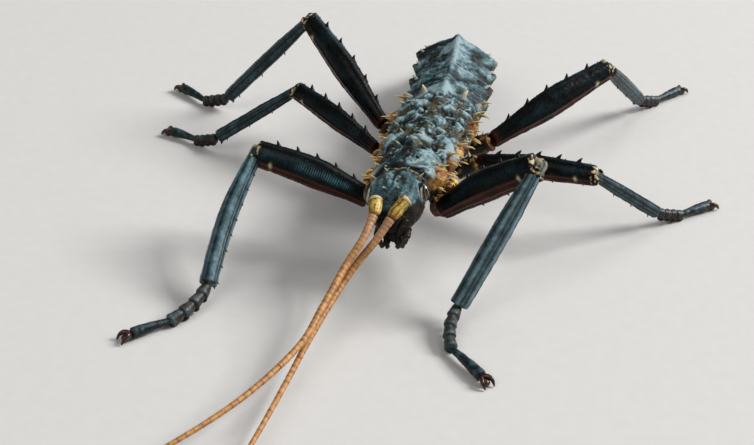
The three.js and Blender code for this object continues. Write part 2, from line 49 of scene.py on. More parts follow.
# The body's plates, head to tail: where each starts and ends along Y.
PLATES = {
    "prothorax": (-13.1, -7.5),
    "mesothorax": (-7.2, 4.6),
    "metathorax": (4.9, 13.5),
    "abdomen_2": (13.8, 19.2),
    "abdomen_3": (19.5, 25.0),
    "abdomen_4": (25.3, 30.8),
    "abdomen_5": (31.1, 36.3),
    "abdomen_6": (36.6, 41.0),
    "abdomen_7": (41.3, 44.8),
    "abdomen_8": (45.1, 48.0),
    "abdomen_9": (48.3, 50.7),
    "abdomen_10": (51.0, 53.2),
}
TAIL_END = 53.2
# Columns: Y, half width, height of the back over the middle line, depth of the belly under it.
GIRTH = np.array([
    [-13.4, 4.4, 4.1, 3.4],
    [-8.0, 5.0, 4.4, 3.8],
    [-7.0, 5.1, 4.6, 3.9],
    [4.6, 6.4, 4.4, 4.2],
    [13.6, 6.3, 4.0, 4.2],
    [22.0, 6.4, 4.2, 4.1],
    [31.0, 6.5, 4.5, 3.9],
    [37.0, 6.4, 4.4, 3.6],
    [42.0, 5.6, 3.3, 2.9],
    [46.0, 4.0, 2.5, 2.3],
    [50.0, 2.7, 1.8, 1.6],
    [TAIL_END, 1.5, 1.1, 0.9],
])
# The middle line is straight in the thorax. The tail droops and curves to the right, the neck is bent,
# and the head leans over to the right by an angle that the thorax untwists.
THORAX_MIDDLE_Z = 11.6
THORAX_SLOPE = -0.032
DROOP = {"from": 35.5, "to": 54.0, "fall": 7.4}
SIDE_BEND = {"from": 13.5, "rate": 0.0031}
NECK_BEND = {"from": -7.0, "to": -15.0, "reach": -0.45}
LEAN = {"angle": 10.0, "from": -13.0, "to": 6.0}
RIDGE = {"height": 0.5, "half_width": 1.1}
# The exponent of the back's curve, how far it turns into straight slopes, and from which Y to which.
ROOF = {"thorax": 0.92, "abdomen": 1.15, "straight": 0.6, "from": 8.0, "to": 18.0}

# Big spines: degrees from the flank over the back, share of the plate's length, length, root radius,
# lean to the tail, and how orange the spine is and how pale its tip.
SPINES = {
    "prothorax": [
        (14, 0.22, 2.0, 0.46, -0.5, 0.9, 0.8), (6, 0.6, 2.4, 0.55, 0.0, 1.0, 0.7),
        (62, 0.12, 0.6, 0.4, -0.3, 0.1, 0.5), (58, 0.85, 0.5, 0.4, 0.2, 0.0, 0.4),
    ],
    "mesothorax": [
        (12, 0.08, 1.9, 0.5, -0.4, 0.9, 0.8), (8, 0.36, 1.6, 0.45, 0.0, 0.8, 0.7),
        (10, 0.64, 2.0, 0.5, 0.2, 0.7, 0.8), (66, 0.1, 1.0, 0.5, -0.2, 0.0, 0.6),
        (60, 0.5, 0.8, 0.5, 0.2, 0.0, 0.4), (42, 0.78, 0.9, 0.5, 0.4, 0.1, 0.5),
    ],
    "metathorax": [
        (12, 0.2, 1.7, 0.4, 0.2, 0.7, 0.8), (60, 0.4, 0.7, 0.5, 0.2, 0.0, 0.4),
        (26, 0.8, 1.3, 0.45, 0.6, 0.4, 0.6),
    ],
    "abdomen_2": [(62, 0.42, 1.35, 0.8, 0.6, 0.35, 1.0), (22, 0.5, 1.6, 0.8, 0.7, 0.35, 1.0)],
}
for number, length, radius in ((3, 1.3, 0.5), (4, 1.3, 0.5), (5, 1.2, 0.5), (6, 1.0, 0.45), (7, 0.7, 0.4)):
    SPINES[f"abdomen_{number}"] = [(24, 0.8, length, radius, 0.8, 0.1, 0.35)]
# Tufts of small prickles on the flanks: share of the plate's length, and how many.
PRICKLES = {
    "prothorax": [(0.26, 4), (0.58, 6)],
    "mesothorax": [(0.12, 5), (0.47, 6), (0.82, 4)],
    "metathorax": [(0.3, 6), (0.76, 3)],
    "abdomen_2": [(0.5, 4)],
}
# Rounded lobes on the flanks: degrees from the flank, share of the plate's length, radius, and how
# much yellow and brown they carry.
LOBES = {
    "prothorax": [(6, 0.5, 1.6, 0.7)],
    "mesothorax": [(8, 0.2, 1.35, 0.15), (10, 0.5, 1.15, 0.8)],
    "metathorax": [(12, 0.3, 1.15, 0.7)],
}
# Knobs and hollows of the rough back, alike on both sides: Y, distance from the middle line, height
# (hollows are negative), and reach along and across.
KNOBS = {
    "prothorax": [
        (-10.2, 2.7, 0.3, 1.9, 1.7), (-9.9, 1.6, -0.6, 0.3, 0.26), (-12.5, 2.6, 0.35, 0.4, 1.3),
        (-8.0, 2.2, 0.25, 0.4, 1.6), (-10.6, 0.0, -0.22, 2.2, 0.3), (-11.6, 3.9, 0.3, 0.7, 0.5),
    ],
    "mesothorax": [
        (-5.4, 0.0, 0.5, 1.1, 0.7), (-4.3, 1.3, 0.45, 0.8, 0.55), (-5.3, 2.5, -1.1, 1.1, 0.85),
        (-3.9, 4.4, 0.6, 1.9, 0.9), (-1.5, 4.7, 0.5, 0.8, 0.7), (0.4, 2.0, 0.45, 1.0, 0.8),
        (3.3, 4.5, 0.55, 0.9, 0.8), (2.8, 1.7, 0.4, 0.9, 0.7), (-1.8, 1.9, -0.55, 0.9, 0.7),
        (1.6, 3.4, -0.5, 0.8, 0.6),
    ],
    "metathorax": [
        (8.3, 2.4, 0.7, 1.2, 1.0), (8.9, 4.9, 0.5, 0.8, 0.8), (5.9, 4.1, 0.45, 0.8, 0.8),
        (12.2, 2.0, 0.4, 0.9, 0.8), (12.0, 4.6, 0.35, 0.8, 0.7), (6.2, 1.8, -0.45, 0.7, 0.6),
        (10.4, 3.6, -0.45, 0.8, 0.6),
    ],
}

HEAD = {"front": -20.6, "back": -13.4, "middle_z": 12.4}
# Half width, and reach above and under the head's middle, at the face, at the eyes and at the neck.
HEAD_WIDTH = (3.1, 3.95, 3.4)
HEAD_TOP = (2.7, 3.4, 3.6)
HEAD_UNDER = (3.5, 3.6, 2.9)
FACE_SLOPE = 1.3  # how far the lower face juts forward
EYE = {"place": (3.95, -16.6, 13.3), "radius": 1.4, "stretch": (0.8, 1.0, 1.15)}
# A hollow and a swelling on each side of the crown, as in KNOBS.
CROWN_KNOBS = [(-17.6, 1.3, -0.26, 0.8, 0.6), (-15.6, 1.1, 0.2, 0.9, 0.8)]
# Root, tip, radius, and how orange and how pale.
HEAD_SPINES = [
    ((1.0, -19.0, 15.3), (1.15, -19.6, 16.0), 0.32, 0.1, 0.5),
    ((1.6, -14.6, 15.6), (1.9, -14.6, 16.5), 0.4, 0.0, 0.5),
    ((3.3, -15.6, 14.9), (4.2, -15.4, 15.9), 0.36, 0.4, 0.8),
]
# Lips and jaws: start, end, half heights and half widths at start, middle and end, how long the two
# round ends are, how light and how brown.
LIPS = [
    ((0.1, -20.7, 11.6), (0.2, -22.3, 9.8), (0.5, 0.7, 0.4), (1.6, 1.9, 1.3), (0.4, 0.5), 0.42, 0.1),
    ((0.1, -20.2, 9.6), (0.2, -22.5, 8.5), (1.1, 1.0, 0.6), (2.0, 1.8, 1.0), (0.5, 0.6), 0.3, 0.0),
]
JAWS = [
    ((2.0, -20.2, 10.9), (0.9, -22.7, 9.3), (1.1, 1.0, 0.5), (1.0, 0.9, 0.45), (0.5, 0.5), 0.32, 0.3),
    ((1.1, -21.0, 9.2), (0.7, -23.0, 8.2), (0.6, 0.62, 0.4), (0.5, 0.55, 0.4), (0.4, 0.4), 0.4, 0.4),
]
# Radius of each palp's first joint, and the ends of its joints.
PALPS = [
    (0.62, [(1.8, -20.6, 9.9), (2.4, -21.6, 9.7), (2.2, -22.5, 9.1), (1.7, -22.9, 8.4), (1.3, -22.9, 7.8)]),
    (0.5, [(0.7, -21.6, 8.9), (1.1, -22.4, 8.6), (0.9, -22.8, 8.0), (0.6, -22.8, 7.6)]),
]

# The root on the face, the end of the thick first joint, then points on the way to the tip.
FEELERS = {
    "right": [
        (-2.9, -19.8, 14.0), (-2.6, -23.0, 12.9), (-3.3, -26.3, 10.8), (-4.9, -30.3, 8.2),
        (-6.2, -37.9, 6.0), (-7.3, -45.9, 4.9), (-11.5, -56.9, 3.9), (-17.8, -67.3, 3.0),
        (-24.6, -75.6, 2.4),
    ],
    "left": [
        (1.6, -19.8, 14.7), (0.0, -23.2, 12.9), (-1.8, -25.6, 10.0), (-4.2, -28.4, 6.8),
        (-6.0, -35.0, 4.4), (-6.9, -43.4, 3.5), (-7.4, -52.0, 3.0), (-8.3, -64.0, 2.4),
        (-9.6, -74.6, 2.0),
    ],
}
FEELER = {"scape": 1.0, "scape_flat": 0.88, "start": 0.62, "end": 0.3, "split_at": 0.5}
RING_MM = (0.62, 1.5)  # length of a feeler's joints at its root and at its tip

# The end of the hip, the knee, the ankle, the bend of the foot and its tip; also how far the shank is
# bowed aside, and how strong the painted blue sheen on the ribbed face of the thigh is, where not as usual.
USUAL_SWING, USUAL_FACE_SHEEN = 0.0, 0.4
LEGS = {
    "front_right": dict(
        base=(-5.6, -13.0, 9.35), knee=(-23.3, -12.8, 14.3), ankle=(-24.8, -32.6, 2.9),
        bend=(-28.1, -40.1, 1.0), tip=(-32.2, -44.3, 0.95), swing=0.9, face_sheen=1.0,
    ),
    "front_left": dict(
        base=(5.6, -13.0, 9.35), knee=(19.7, -16.7, 21.0), ankle=(11.3, -28.2, 3.0),
        bend=(11.9, -35.6, 1.0), tip=(17.2, -40.7, 0.95),
    ),
    "middle_right": dict(
        base=(-8.3, 2.8, 9.1), knee=(-24.7, 14.2, 11.6), ankle=(-37.7, 10.2, 2.7),
        bend=(-42.1, 11.5, 1.0), tip=(-46.9, 13.1, 0.95),
    ),
    "middle_left": dict(
        base=(8.3, 3.3, 9.1), knee=(27.2, -1.6, 12.3), ankle=(37.0, 6.4, 2.7),
        bend=(40.9, 9.7, 1.0), tip=(44.9, 13.8, 0.95),
    ),
    "hind_right": dict(
        base=(-9.2, 11.6, 8.8), knee=(-25.7, 25.7, 19.4), ankle=(-40.5, 24.8, 2.8),
        bend=(-45.4, 25.8, 1.0), tip=(-50.6, 29.2, 0.95),
    ),
    "hind_left": dict(
        base=(9.2, 11.4, 8.8), knee=(25.5, 28.1, 16.2), ankle=(30.8, 45.0, 2.8),
        bend=(34.0, 49.4, 1.0), tip=(37.6, 54.6, 0.95),
    ),
}
# Half heights and half widths at a length's start, middle and end; how far the thigh arches up and
# the foot curves inwards; how far inwards, backwards and upwards the hip is rooted; how strong the
# bloom is between the shank's keels; and how strong the painted sheen is on the rear of the thigh.
LEG_GIRTH = {
    "front": dict(
        femur=(1.6, 2.4, 2.1), femur_width=(1.2, 1.75, 1.6), tibia=(0.95, 1.4, 1.3), bow=0.65,
        foot=0.92, foot_swing=0.7, hip_root=(1.0, 4.0, 0.8), shank_bloom=0.42, rear_sheen=0.0,
    ),
    "middle": dict(
        femur=(1.2, 1.9, 1.55), femur_width=(0.95, 1.5, 1.35), tibia=(0.65, 0.95, 1.0), bow=0.25,
        foot=0.74, foot_swing=0.0, hip_root=(3.6, 0.0, -2.2), shank_bloom=0.24, rear_sheen=0.3,
    ),
    "hind": dict(
        femur=(1.45, 2.55, 1.85), femur_width=(1.1, 1.9, 1.5), tibia=(0.75, 1.15, 1.1), bow=0.25,
        foot=0.78, foot_swing=0.0, hip_root=(3.6, 0.0, -2.2), shank_bloom=0.24, rear_sheen=0.3,
    ),
}
HIP_RADIUS = 1.6
# Yellow lumps on the front hips: how far outwards, backwards and up from the hip's end, and radius.
HIP_LUMPS = [
    (-0.4, 0.5, 1.4, 0.9), (0.5, 4.8, 1.6, 1.25), (0.5, 2.7, 2.6, 1.0), (0.8, 1.6, 1.5, 0.7),
    (1.2, 3.4, 1.2, 0.7),
]
THORN_LEAN = 24.0  # degrees that the thigh's upper thorns stand behind its top ridge
# Rows of thorns: how many, length, degrees from the top ridge, first and last share of the limb, root
# radius as a share of the length, how orange and how pale.
HIP_THORNS = [(3, 0.7, 30, 0.25, 0.85, 0.24, 0.8, 0.9), (2, 0.6, -40, 0.4, 0.8, 0.24, 0.8, 0.9)]
THIGH_THORNS = [
    (5, 1.1, THORN_LEAN, 0.16, 0.84, 0.55, 0.1, 0.0),
    (9, 0.45, THORN_LEAN, 0.1, 0.93, 0.65, 0.1, 0.0),
    (3, 0.8, 180, 0.35, 0.86, 0.45, 0.4, 0.0),
    (8, 0.3, 178, 0.15, 0.93, 0.34, 0.4, 0.0),
]
SHANK_THORNS = [
    (8, 0.55, 97, 0.2, 0.97, 0.48, 0.1, 0.0),
    (3, 0.6, 180, 0.4, 0.93, 0.4, 0.1, 0.0),
    (9, 0.3, -80, 0.16, 0.95, 0.5, 0.1, 0.0),
    (4, 0.45, 150, 0.975, 0.99, 0.4, 0.1, 0.0),
]
SHANK_KEELS = (20, 95, 160, 230, 305)  # degrees from the top
TOE_JOINTS = 4

# ---------- small mathematics ----------


def smooth(t):
    """An S-shaped step from 0 to 1."""
    t = np.clip(t, 0.0, 1.0)
    return t * t * (3 - 2 * t)


def mix(a, b, t):
    """From a to b as t goes from 0 to 1."""
    return a + (b - a) * t


def power(value, exponent):
    """A power that keeps the sign, for superellipses."""
    return np.sign(value) * np.abs(value) ** exponent


def hill(distance):
    """A round bump: 1 in the middle, falling off as a bell."""
    return np.exp(-distance * distance)


def mound(along, across):
    """A bump over two directions, whose distances are shares of its reach."""
    return np.exp(-(along**2 + across**2))


def three_point(values, t):
    """Values at t 0, 0.5 and 1, joined by two S-shaped steps."""
    a, b, c = values
    return np.where(t < 0.5, mix(a, b, smooth(t * 2)), mix(b, c, smooth(t * 2 - 1)))


def unit(vector):
    """The vector's direction."""
    return vector / np.linalg.norm(vector, axis=-1, keepdims=True)


def span(a, b):
    """The distance between two points."""
    return float(np.linalg.norm(np.asarray(b) - np.asarray(a)))


def scatter(cell, seed):
    """A repeatable number from 0 to 1 for each whole-numbered cell: the fraction of a very large sine."""
    number = np.sin(cell @ np.array([127.1, 311.7, 74.7]) + seed * 53.7) * 43758.5453
    return number - np.floor(number)


def waves(points, size, seed):
    """Smooth noise from -1 to 1: random numbers at the corners of cells, blended between them."""
    place = points / size
    base = np.floor(place)
    blend = smooth(place - base)
    total = np.zeros(points.shape[:-1])
    for corner in np.ndindex(2, 2, 2):
        weight = np.prod(np.where(corner, blend, 1 - blend), axis=-1)
        total += weight * scatter(base + corner, seed)
    return total * 2 - 1


def rough(points, size, octaves, seed):
    """Several layers of waves, each half as large and half as strong as the one before."""
    return sum(waves(points, size / 2**k, seed + k) / 2**k for k in range(octaves))


def ridged(points, size, octaves, seed):
    """Waves folded at zero, so that they meet in sharp crests; about -0.45 to 0.55."""
    layers = [(1 - np.abs(waves(points, size / 2**k, seed + k))) ** 2 / 2**k for k in range(octaves)]
    return sum(layers) / (2 - 2.0 ** (1 - octaves)) - 0.45


# Added to colour, this paints shade into hollows and lightens what stands proud.
def standing_out(field, reach):
    """How far a field of rings rises over its average in a square of neighbours."""
    padded = np.pad(field, ((reach, reach), (0, 0)), mode="edge")
    padded = np.pad(padded, ((0, 0), (reach, reach)), mode="wrap")
    total = np.pad(padded.cumsum(0).cumsum(1), ((1, 0), (1, 0)))
    n = 2 * reach + 1
    return field - (total[n:, n:] - total[:-n, n:] - total[n:, :-n] + total[:-n, :-n]) / n**2


def grains(points, size, seed):
    """Distance to the nearest of the grains scattered one to a cell, and that grain's number."""
    place = points / size
    base = np.floor(place)
    nearest = np.full(points.shape[:-1], 9.0)
    number = np.zeros(points.shape[:-1])
    for step in np.ndindex(3, 3, 3):
        cell = base + np.array(step) - 1
        grain = cell + np.stack([scatter(cell, seed + k) for k in (1, 2, 3)], axis=-1)
        distance = np.linalg.norm(place - grain, axis=-1)
        closer = distance < nearest
        nearest = np.where(closer, distance, nearest)
        number = np.where(closer, scatter(cell, seed + 4), number)
    return nearest * size, number


def spots(grain, radius, gain, bar=0.0):
    """Round spots on grains. The number of each, times a gain and less a bar, says how strong it is."""
    distance, number = grain
    return hill(distance / radius) * smooth(number * gain - bar)


# ---------- skins, shells and pieces ----------

FIELDS = ("relief", "warm", "pale")  # what the materials read, point by point


def shell_of(points, quads, triangles, fields):
    """A closed shell with its fields. Its faces are reversed if its volume comes out negative."""
    corners = np.concatenate([quads[:, [0, 1, 2]], quads[:, [0, 2, 3]], triangles])
    a, b, c = (points[corners[:, k]] for k in range(3))
    if np.einsum("ij,ij->i", a, np.cross(b, c)).sum() < 0:
        quads, triangles = quads[:, ::-1], triangles[:, ::-1]
    return {"points": points, "quads": quads, "triangles": triangles, **dict(zip(FIELDS, fields))}


def closed_skin(rings, relief, warm=0.0, pale=0.0):
    """Rings of points joined into a closed skin, with a pole in the middle of the first and last ring.
    Each field is one number or one for each point."""
    rows, columns = rings.shape[:2]
    index = np.arange(rows * columns).reshape(rows, columns)
    following = np.roll(index, -1, axis=1)
    quads = np.stack([index[:-1], following[:-1], following[1:], index[1:]], axis=-1).reshape(-1, 4)
    first, last = rows * columns, rows * columns + 1
    start = np.stack([np.full(columns, first), following[0], index[0]], axis=-1)
    end = np.stack([np.full(columns, last), index[-1], following[-1]], axis=-1)
    points = np.concatenate([rings.reshape(-1, 3), [rings[0].mean(axis=0)], [rings[-1].mean(axis=0)]])
    fields = [np.broadcast_to(field, (rows, columns)) for field in (relief, warm, pale)]
    fields = [np.concatenate([field.ravel(), [field[0].mean(), field[-1].mean()]]) for field in fields]
    return shell_of(points, quads, np.concatenate([start, end]), fields)


def lifted(rings, height):
    """Moves each point of closed rings outwards, along the skin's own normal, by a height."""
    along = np.gradient(rings, axis=0)
    around = np.roll(rings, -1, axis=1) - np.roll(rings, 1, axis=1)
    normal = np.cross(around, along)
    normal = normal / np.maximum(np.linalg.norm(normal, axis=-1, keepdims=True), 1e-9)
    outwards = np.sum(normal * (rings - rings.mean(axis=1, keepdims=True)), axis=-1)
    return rings + normal * np.sign(outwards.mean()) * height[..., None]


def grounded(rings):
    """Flattens what would be under the floor."""
    return np.concatenate([rings[..., :2], np.maximum(rings[..., 2:], 0.0)], axis=-1)


def linked(name, data):
    """A new object in the scene."""
    made = bpy.data.objects.new(name, data)
    bpy.context.collection.objects.link(made)
    return made


def piece(name, shells, material, node):
    """One object made of closed shells, which stands for a named solid and rides with the body."""
    offsets = np.cumsum([0] + [len(s["points"]) for s in shells])
    points = (np.concatenate([s["points"] for s in shells]) + LAYOUT_SHIFT) * MM
    quads = np.concatenate([s["quads"] + o for s, o in zip(shells, offsets)])
    triangles = np.concatenate([s["triangles"] + o for s, o in zip(shells, offsets)])
    mesh = bpy.data.meshes.new(name)
    mesh.from_pydata(points.tolist(), [], quads.tolist() + triangles.tolist(), shade_flat=False)
    for field in FIELDS:
        values = np.concatenate([s[field] for s in shells]).astype(np.float32)
        mesh.attributes.new(field, "FLOAT", "POINT").data.foreach_set("value", values)
    mesh.materials.append(material)
    made = linked(name, mesh)
    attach(made, "root")
    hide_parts(node)


def ring_angles(columns):
    """Angles evenly round a ring, as one row."""
    return (np.arange(columns) / columns * 2 * np.pi)[None, :]


def stripe(angle, degrees, width):
    """A stripe along a limb: 1 at an angle in degrees, fading round the ring over a width in radians."""
    return hill(np.angle(np.exp(1j * (angle - np.radians(degrees)))) / width)


def across_limb(direction):
    """The two directions across a limb: sideways, and up as seen from the side."""
    side = unit(np.cross(direction, [0.0, 0.0, 1.0]))
    return side, unit(np.cross(side, direction))


def tube(centres, half_height, half_width, columns, square=1.0, under=1.0):
    """Rings round a line of centres: a superellipse of the given half sizes, whose underside may be deeper.
    Its angle is 0 on top and grows sideways."""
    side, up = across_limb(unit(np.gradient(centres, axis=0)))
    angle = ring_angles(columns)
    depth = np.where(np.cos(angle) < 0, np.reshape(under, (-1, 1)), 1.0)
    across = power(np.sin(angle), square) * np.reshape(half_width, (-1, 1))
    rise = power(np.cos(angle), square) * np.reshape(half_height, (-1, 1)) * depth
    return centres[:, None] + across[..., None] * side[:, None] + rise[..., None] * up[:, None]


def rounded_ends(t, length, start, end):
    """A factor that closes a limb in a quarter circle over the given distances from its two ends."""
    near = np.clip(t * length / start, 0.0, 1.0)
    far = np.clip((1 - t) * length / end, 0.0, 1.0)
    return np.sqrt(np.maximum(1e-4, 1 - (1 - near) ** 2)) * np.sqrt(np.maximum(1e-4, 1 - (1 - far) ** 2))


def end_weighted(rows):
    """Places from 0 to 1 for a limb's rings, closer together near both ends."""
    s = np.linspace(0, 1, rows)
    return mix(s, 0.5 - 0.5 * np.cos(np.pi * s), 0.65)


def straight(start, end, t):
    """Points at the shares t of the way from start to end."""
    return np.asarray(start)[None] + (np.asarray(end) - np.asarray(start))[None] * t[:, None]


def limb(start, end, t, half_height, half_width, columns, ends, square=1.0, under=1.0, arch=(0, 0, 0)):
    """Rings of a length between two points, at the shares t of it, with round ends of the given lengths.
    arch is how far its middle is bowed aside, along half a sine."""
    close = rounded_ends(t, span(start, end), *ends)
    centres = straight(start, end, t) + np.sin(np.pi * t)[:, None] * np.asarray(arch)
    return tube(centres, half_height * close, half_width * close, columns, square, under)


def ball(centre, sizes, rows, columns, axes=np.eye(3)):
    """Rings of an ellipsoid with its poles on its third axis."""
    polar = np.linspace(0.02, np.pi - 0.02, rows)[:, None]
    angle = ring_angles(columns)
    local = [np.sin(polar) * np.cos(angle), np.sin(polar) * np.sin(angle), np.cos(polar) + 0 * angle]
    return np.asarray(centre) + np.stack(local, axis=-1) * np.asarray(sizes) @ np.asarray(axes)


def thorn(root, tip, radius, warm=0.0, pale=0.0, relief=0.45, sunk=0.5, columns=10):
    """A horn: its radius falls to nothing as it runs from a sunken root to its tip in a shallow arc.
    warm colours its middle and pale its tip."""
    root, tip = np.asarray(root, float), np.asarray(tip, float)
    direction = unit(tip - root)
    length = np.linalg.norm(tip - root) + sunk
    s = np.linspace(0, 1, 10)
    _, up = across_limb(direction)
    centres = straight(root - direction * sunk, tip, s) + (0.1 * length * np.sin(np.pi * s))[:, None] * up
    taper = radius * ((1 - s) ** 0.8 + 0.35 * hill(s / 0.3)) / 1.2 + 0.025
    s = s[:, None] + 0 * ring_angles(columns)
    rings = tube(centres, taper, taper, columns)
    return closed_skin(rings, relief + 0.2 * s, warm * smooth(s * 3), pale * smooth(s * 2 - 0.8))


# ---------- materials ----------


def colour(hex_code):
    """An sRGB hex value as linear red, green, blue and alpha."""
    parts = [int(hex_code[i : i + 2], 16) / 255 for i in (1, 3, 5)]
    return tuple(c / 12.92 if c <= 0.04045 else ((c + 0.055) / 1.055) ** 2.4 for c in parts) + (1.0,)


def add(tree, kind, sockets, take=0, stops=(), **settings):
    """Adds a node with its settings, sets or links its sockets, fills its ramp, and gives one output."""
    made = tree.nodes.new("ShaderNode" + kind)
    for name, value in settings.items():
        setattr(made, name, value)
    for name, value in sockets.items():
        if isinstance(value, bpy.types.NodeSocket):
            tree.links.new(value, made.inputs[name])
        else:
            made.inputs[name].default_value = value
    for number, (place, hex_code) in enumerate(stops):
        elements = made.color_ramp.elements
        element = elements[number] if number < len(elements) else elements.new(place)
        element.position, element.color = place, colour(hex_code)
    return made.outputs[take]


CHITIN_IOR = 1.54
MOTTLE_MM = 0.3  # size of the fine noise that moves the colour and the gloss
MOTTLE_RANGE = (0.35, 0.65)  # between which the noise mostly lies


def chitin(name, stops, warm, pale, roughness, bump_mm, specular=0.4, grain_mm=0.28, fleck=0.3):
    """Insect cuticle: hardened chitin, waxy and a little glossy, coloured by how far it stands out.

    stops colour it from its hollows to its crests; warm and pale are the two colours that the fields
    of those names bring in. specular is how much of a bare surface's reflection its skin of wax lets
    through. Grains of grain_mm stand bump_mm proud, and fleck is how far a fine noise moves the colour.
    Real grains are often finer: these are drawn as coarse as they need to be to show."""
    material = bpy.data.materials.new(name)
    material.use_nodes = True
    tree = material.node_tree
    shader = tree.nodes["Principled BSDF"]
    place = add(tree, "TexCoord", {}, take="Object")
    relief, warmth, paleness = (
        add(tree, "Attribute", {}, take="Fac", attribute_name=field) for field in FIELDS
    )
    mottle = {"Vector": place, "Scale": 1 / (MOTTLE_MM * MM), "Detail": 5.0, "Roughness": 0.65}
    fine = add(tree, "TexNoise", mottle)
    height = add(tree, "Math", {0: fine, 1: fleck, 2: relief}, operation="MULTIPLY_ADD")
    tone = add(tree, "ValToRGB", {"Fac": height}, stops=stops)
    for amount, tint in ((warmth, warm), (paleness, pale)):
        tone = add(tree, "Mix", {0: amount, 6: tone, 7: colour(tint)}, take=2, data_type="RGBA")
    tree.links.new(tone, shader.inputs["Base Color"])
    gloss = dict(zip(("From Min", "From Max", "To Min", "To Max"), (*MOTTLE_RANGE, *roughness)))
    tree.links.new(add(tree, "MapRange", {"Value": fine, **gloss}), shader.inputs["Roughness"])
    shader.inputs["IOR"].default_value = CHITIN_IOR
    shader.inputs["Specular IOR Level"].default_value = specular
    cells = {"Vector": place, "Scale": 1 / (grain_mm * MM)}
    grain = add(tree, "TexVoronoi", cells, feature="SMOOTH_F1")
    rise = add(tree, "Math", {0: grain, 1: -1.5, 2: fine}, operation="MULTIPLY_ADD")
    bump = add(tree, "Bump", {"Height": rise, "Distance": bump_mm * MM, "Strength": 1.0})
    tree.links.new(bump, shader.inputs["Normal"])
    return material


# Granulated back: black in its hollows, slate blue on its slopes, ashen on its grains.
BACK = chitin(
    "granulated blue-black chitin",
    [(0.34, "#010303"), (0.5, "#0b1a1c"), (0.7, "#39575d"), (1.0, "#849a9f")],
    warm="#96560c", pale="#d2c17c", roughness=(0.4, 0.66), specular=0.24, bump_mm=0.045,
)
# Thighs: black polished by wax, with a painted blue sheen on the ridges and upper face, and a mahogany
# underside.
LEG = chitin(
    "waxed black chitin",
    [(0.36, "#010101"), (0.56, "#040808"), (0.74, "#142a31"), (1.0, "#50757f")],
    warm="#3a180d", pale="#d2c69c", roughness=(0.26, 0.44), specular=0.1,
    grain_mm=0.2, bump_mm=0.012, fleck=0.2,
)
# Shins and feet: the same, with more of the slate bloom.
SHANK = chitin(
    "slate-bloomed black chitin",
    [(0.34, "#010303"), (0.54, "#0c1a1d"), (0.76, "#39535b"), (1.0, "#75929b")],
    warm="#33140a", pale="#9a8c62", roughness=(0.3, 0.5), specular=0.25,
    grain_mm=0.22, bump_mm=0.018, fleck=0.2,
)
# Hips: black-brown chitin with ochre swellings.
HIP = chitin(
    "ochre-knobbed brown chitin",
    [(0.36, "#040302"), (0.54, "#130a05"), (0.74, "#3a220c"), (1.0, "#9a6a22")],
    warm="#5c2c08", pale="#cfb05a", roughness=(0.4, 0.62), specular=0.2, bump_mm=0.04,
)
# First joints of the feelers: mustard yellow with olive dots and streaks.
SCAPE = chitin(
    "dotted yellow chitin",
    [(0.3, "#1e1808"), (0.48, "#5c4c16"), (0.66, "#b8983a"), (0.95, "#e0ca6e")],
    warm="#7c3c10", pale="#d3bf94", roughness=(0.35, 0.55), grain_mm=0.3, bump_mm=0.02,
)
# The feelers' whips: orange-brown, darker at each joint.
WHIP = chitin(
    "ringed orange-brown chitin",
    [(0.3, "#30190a"), (0.5, "#7c5026"), (0.7, "#b07c40"), (1.0, "#d0a670")],
    warm="#5a2a0a", pale="#a88670", roughness=(0.4, 0.6), grain_mm=0.16, bump_mm=0.01,
)
# Claws: solid horn, darkening to black points.
CLAW = chitin(
    "horny red-brown chitin",
    [(0.34, "#040202"), (0.54, "#140805"), (0.74, "#32140a"), (1.0, "#5e3018")],
    warm="#5a2a10", pale="#8c6a44", roughness=(0.2, 0.34), grain_mm=0.2, bump_mm=0.005, fleck=0.2,
)
# Jaws and palps: soft dark folds.
MOUTH = chitin(
    "black-brown mouth chitin",
    [(0.36, "#020202"), (0.56, "#080506"), (0.76, "#1c1415"), (1.0, "#5e5048")],
    warm="#1c0b07", pale="#8c7b66", roughness=(0.34, 0.56), specular=0.2, grain_mm=0.26, bump_mm=0.035,
)
# Compound eyes: a polished lens skin over dark plum, with cream streaks. Its lenses, really about
# 0.03 mm wide, are drawn coarser, so that they show.
EYE_SKIN = chitin(
    "polished lens skin",
    [(0.2, "#060507"), (0.5, "#15110f"), (0.8, "#2a2320"), (1.0, "#4c443a")],
    warm="#3a2818", pale="#cdc6a4", roughness=(0.14, 0.24), specular=0.5,
    grain_mm=0.08, bump_mm=0.003, fleck=0.2,
)

# ---------- the body ----------

RING_STEP = 0.115  # between the rings of a plate
TUCK = 0.5  # how far a plate reaches under the one in front
# The hind edge of a plate, rolled in: shares of its length, and of its girth.
ROLLED_EDGE = np.array([(1.01, 0.985), (1.0, 0.95), (0.97, 0.85), (0.9, 0.6)])
# How strong the back's crests, warts and pits are.
ROUGHNESS = {"prothorax": 0.5, "mesothorax": 1.0, "metathorax": 1.0}
ABDOMEN_ROUGHNESS = 0.45
# Sizes of the back's swells, crests, warts, pits and small grains.
SWELL_MM, CREST_MM, WART_MM, PIT_MM, GRAIN_MM = 2.4, 1.6, 1.25, 1.5, 0.46
# Columns of points round a plate of the thorax, of the abdomen, and of the tail beyond a Y.
THORAX_COLUMNS, ABDOMEN_COLUMNS, TAIL_COLUMNS, TAIL_START = 340, 260, 170, 38.0
LOBE_STRETCH = (0.95, 1.2, 0.9)  # of the flanks' lobes along X, Y and Z


def middle_line(y):
    """X and Z of the body's middle line: straight in the thorax, bent sideways and down in the abdomen."""
    bent = np.maximum(0.0, y - SIDE_BEND["from"])
    fallen = smooth((y - DROOP["from"]) / (DROOP["to"] - DROOP["from"]))
    neck = NECK_BEND["reach"] * smooth((y - NECK_BEND["from"]) / (NECK_BEND["to"] - NECK_BEND["from"]))
    return neck - SIDE_BEND["rate"] * bent**2, THORAX_MIDDLE_Z + THORAX_SLOPE * y - DROOP["fall"] * fallen


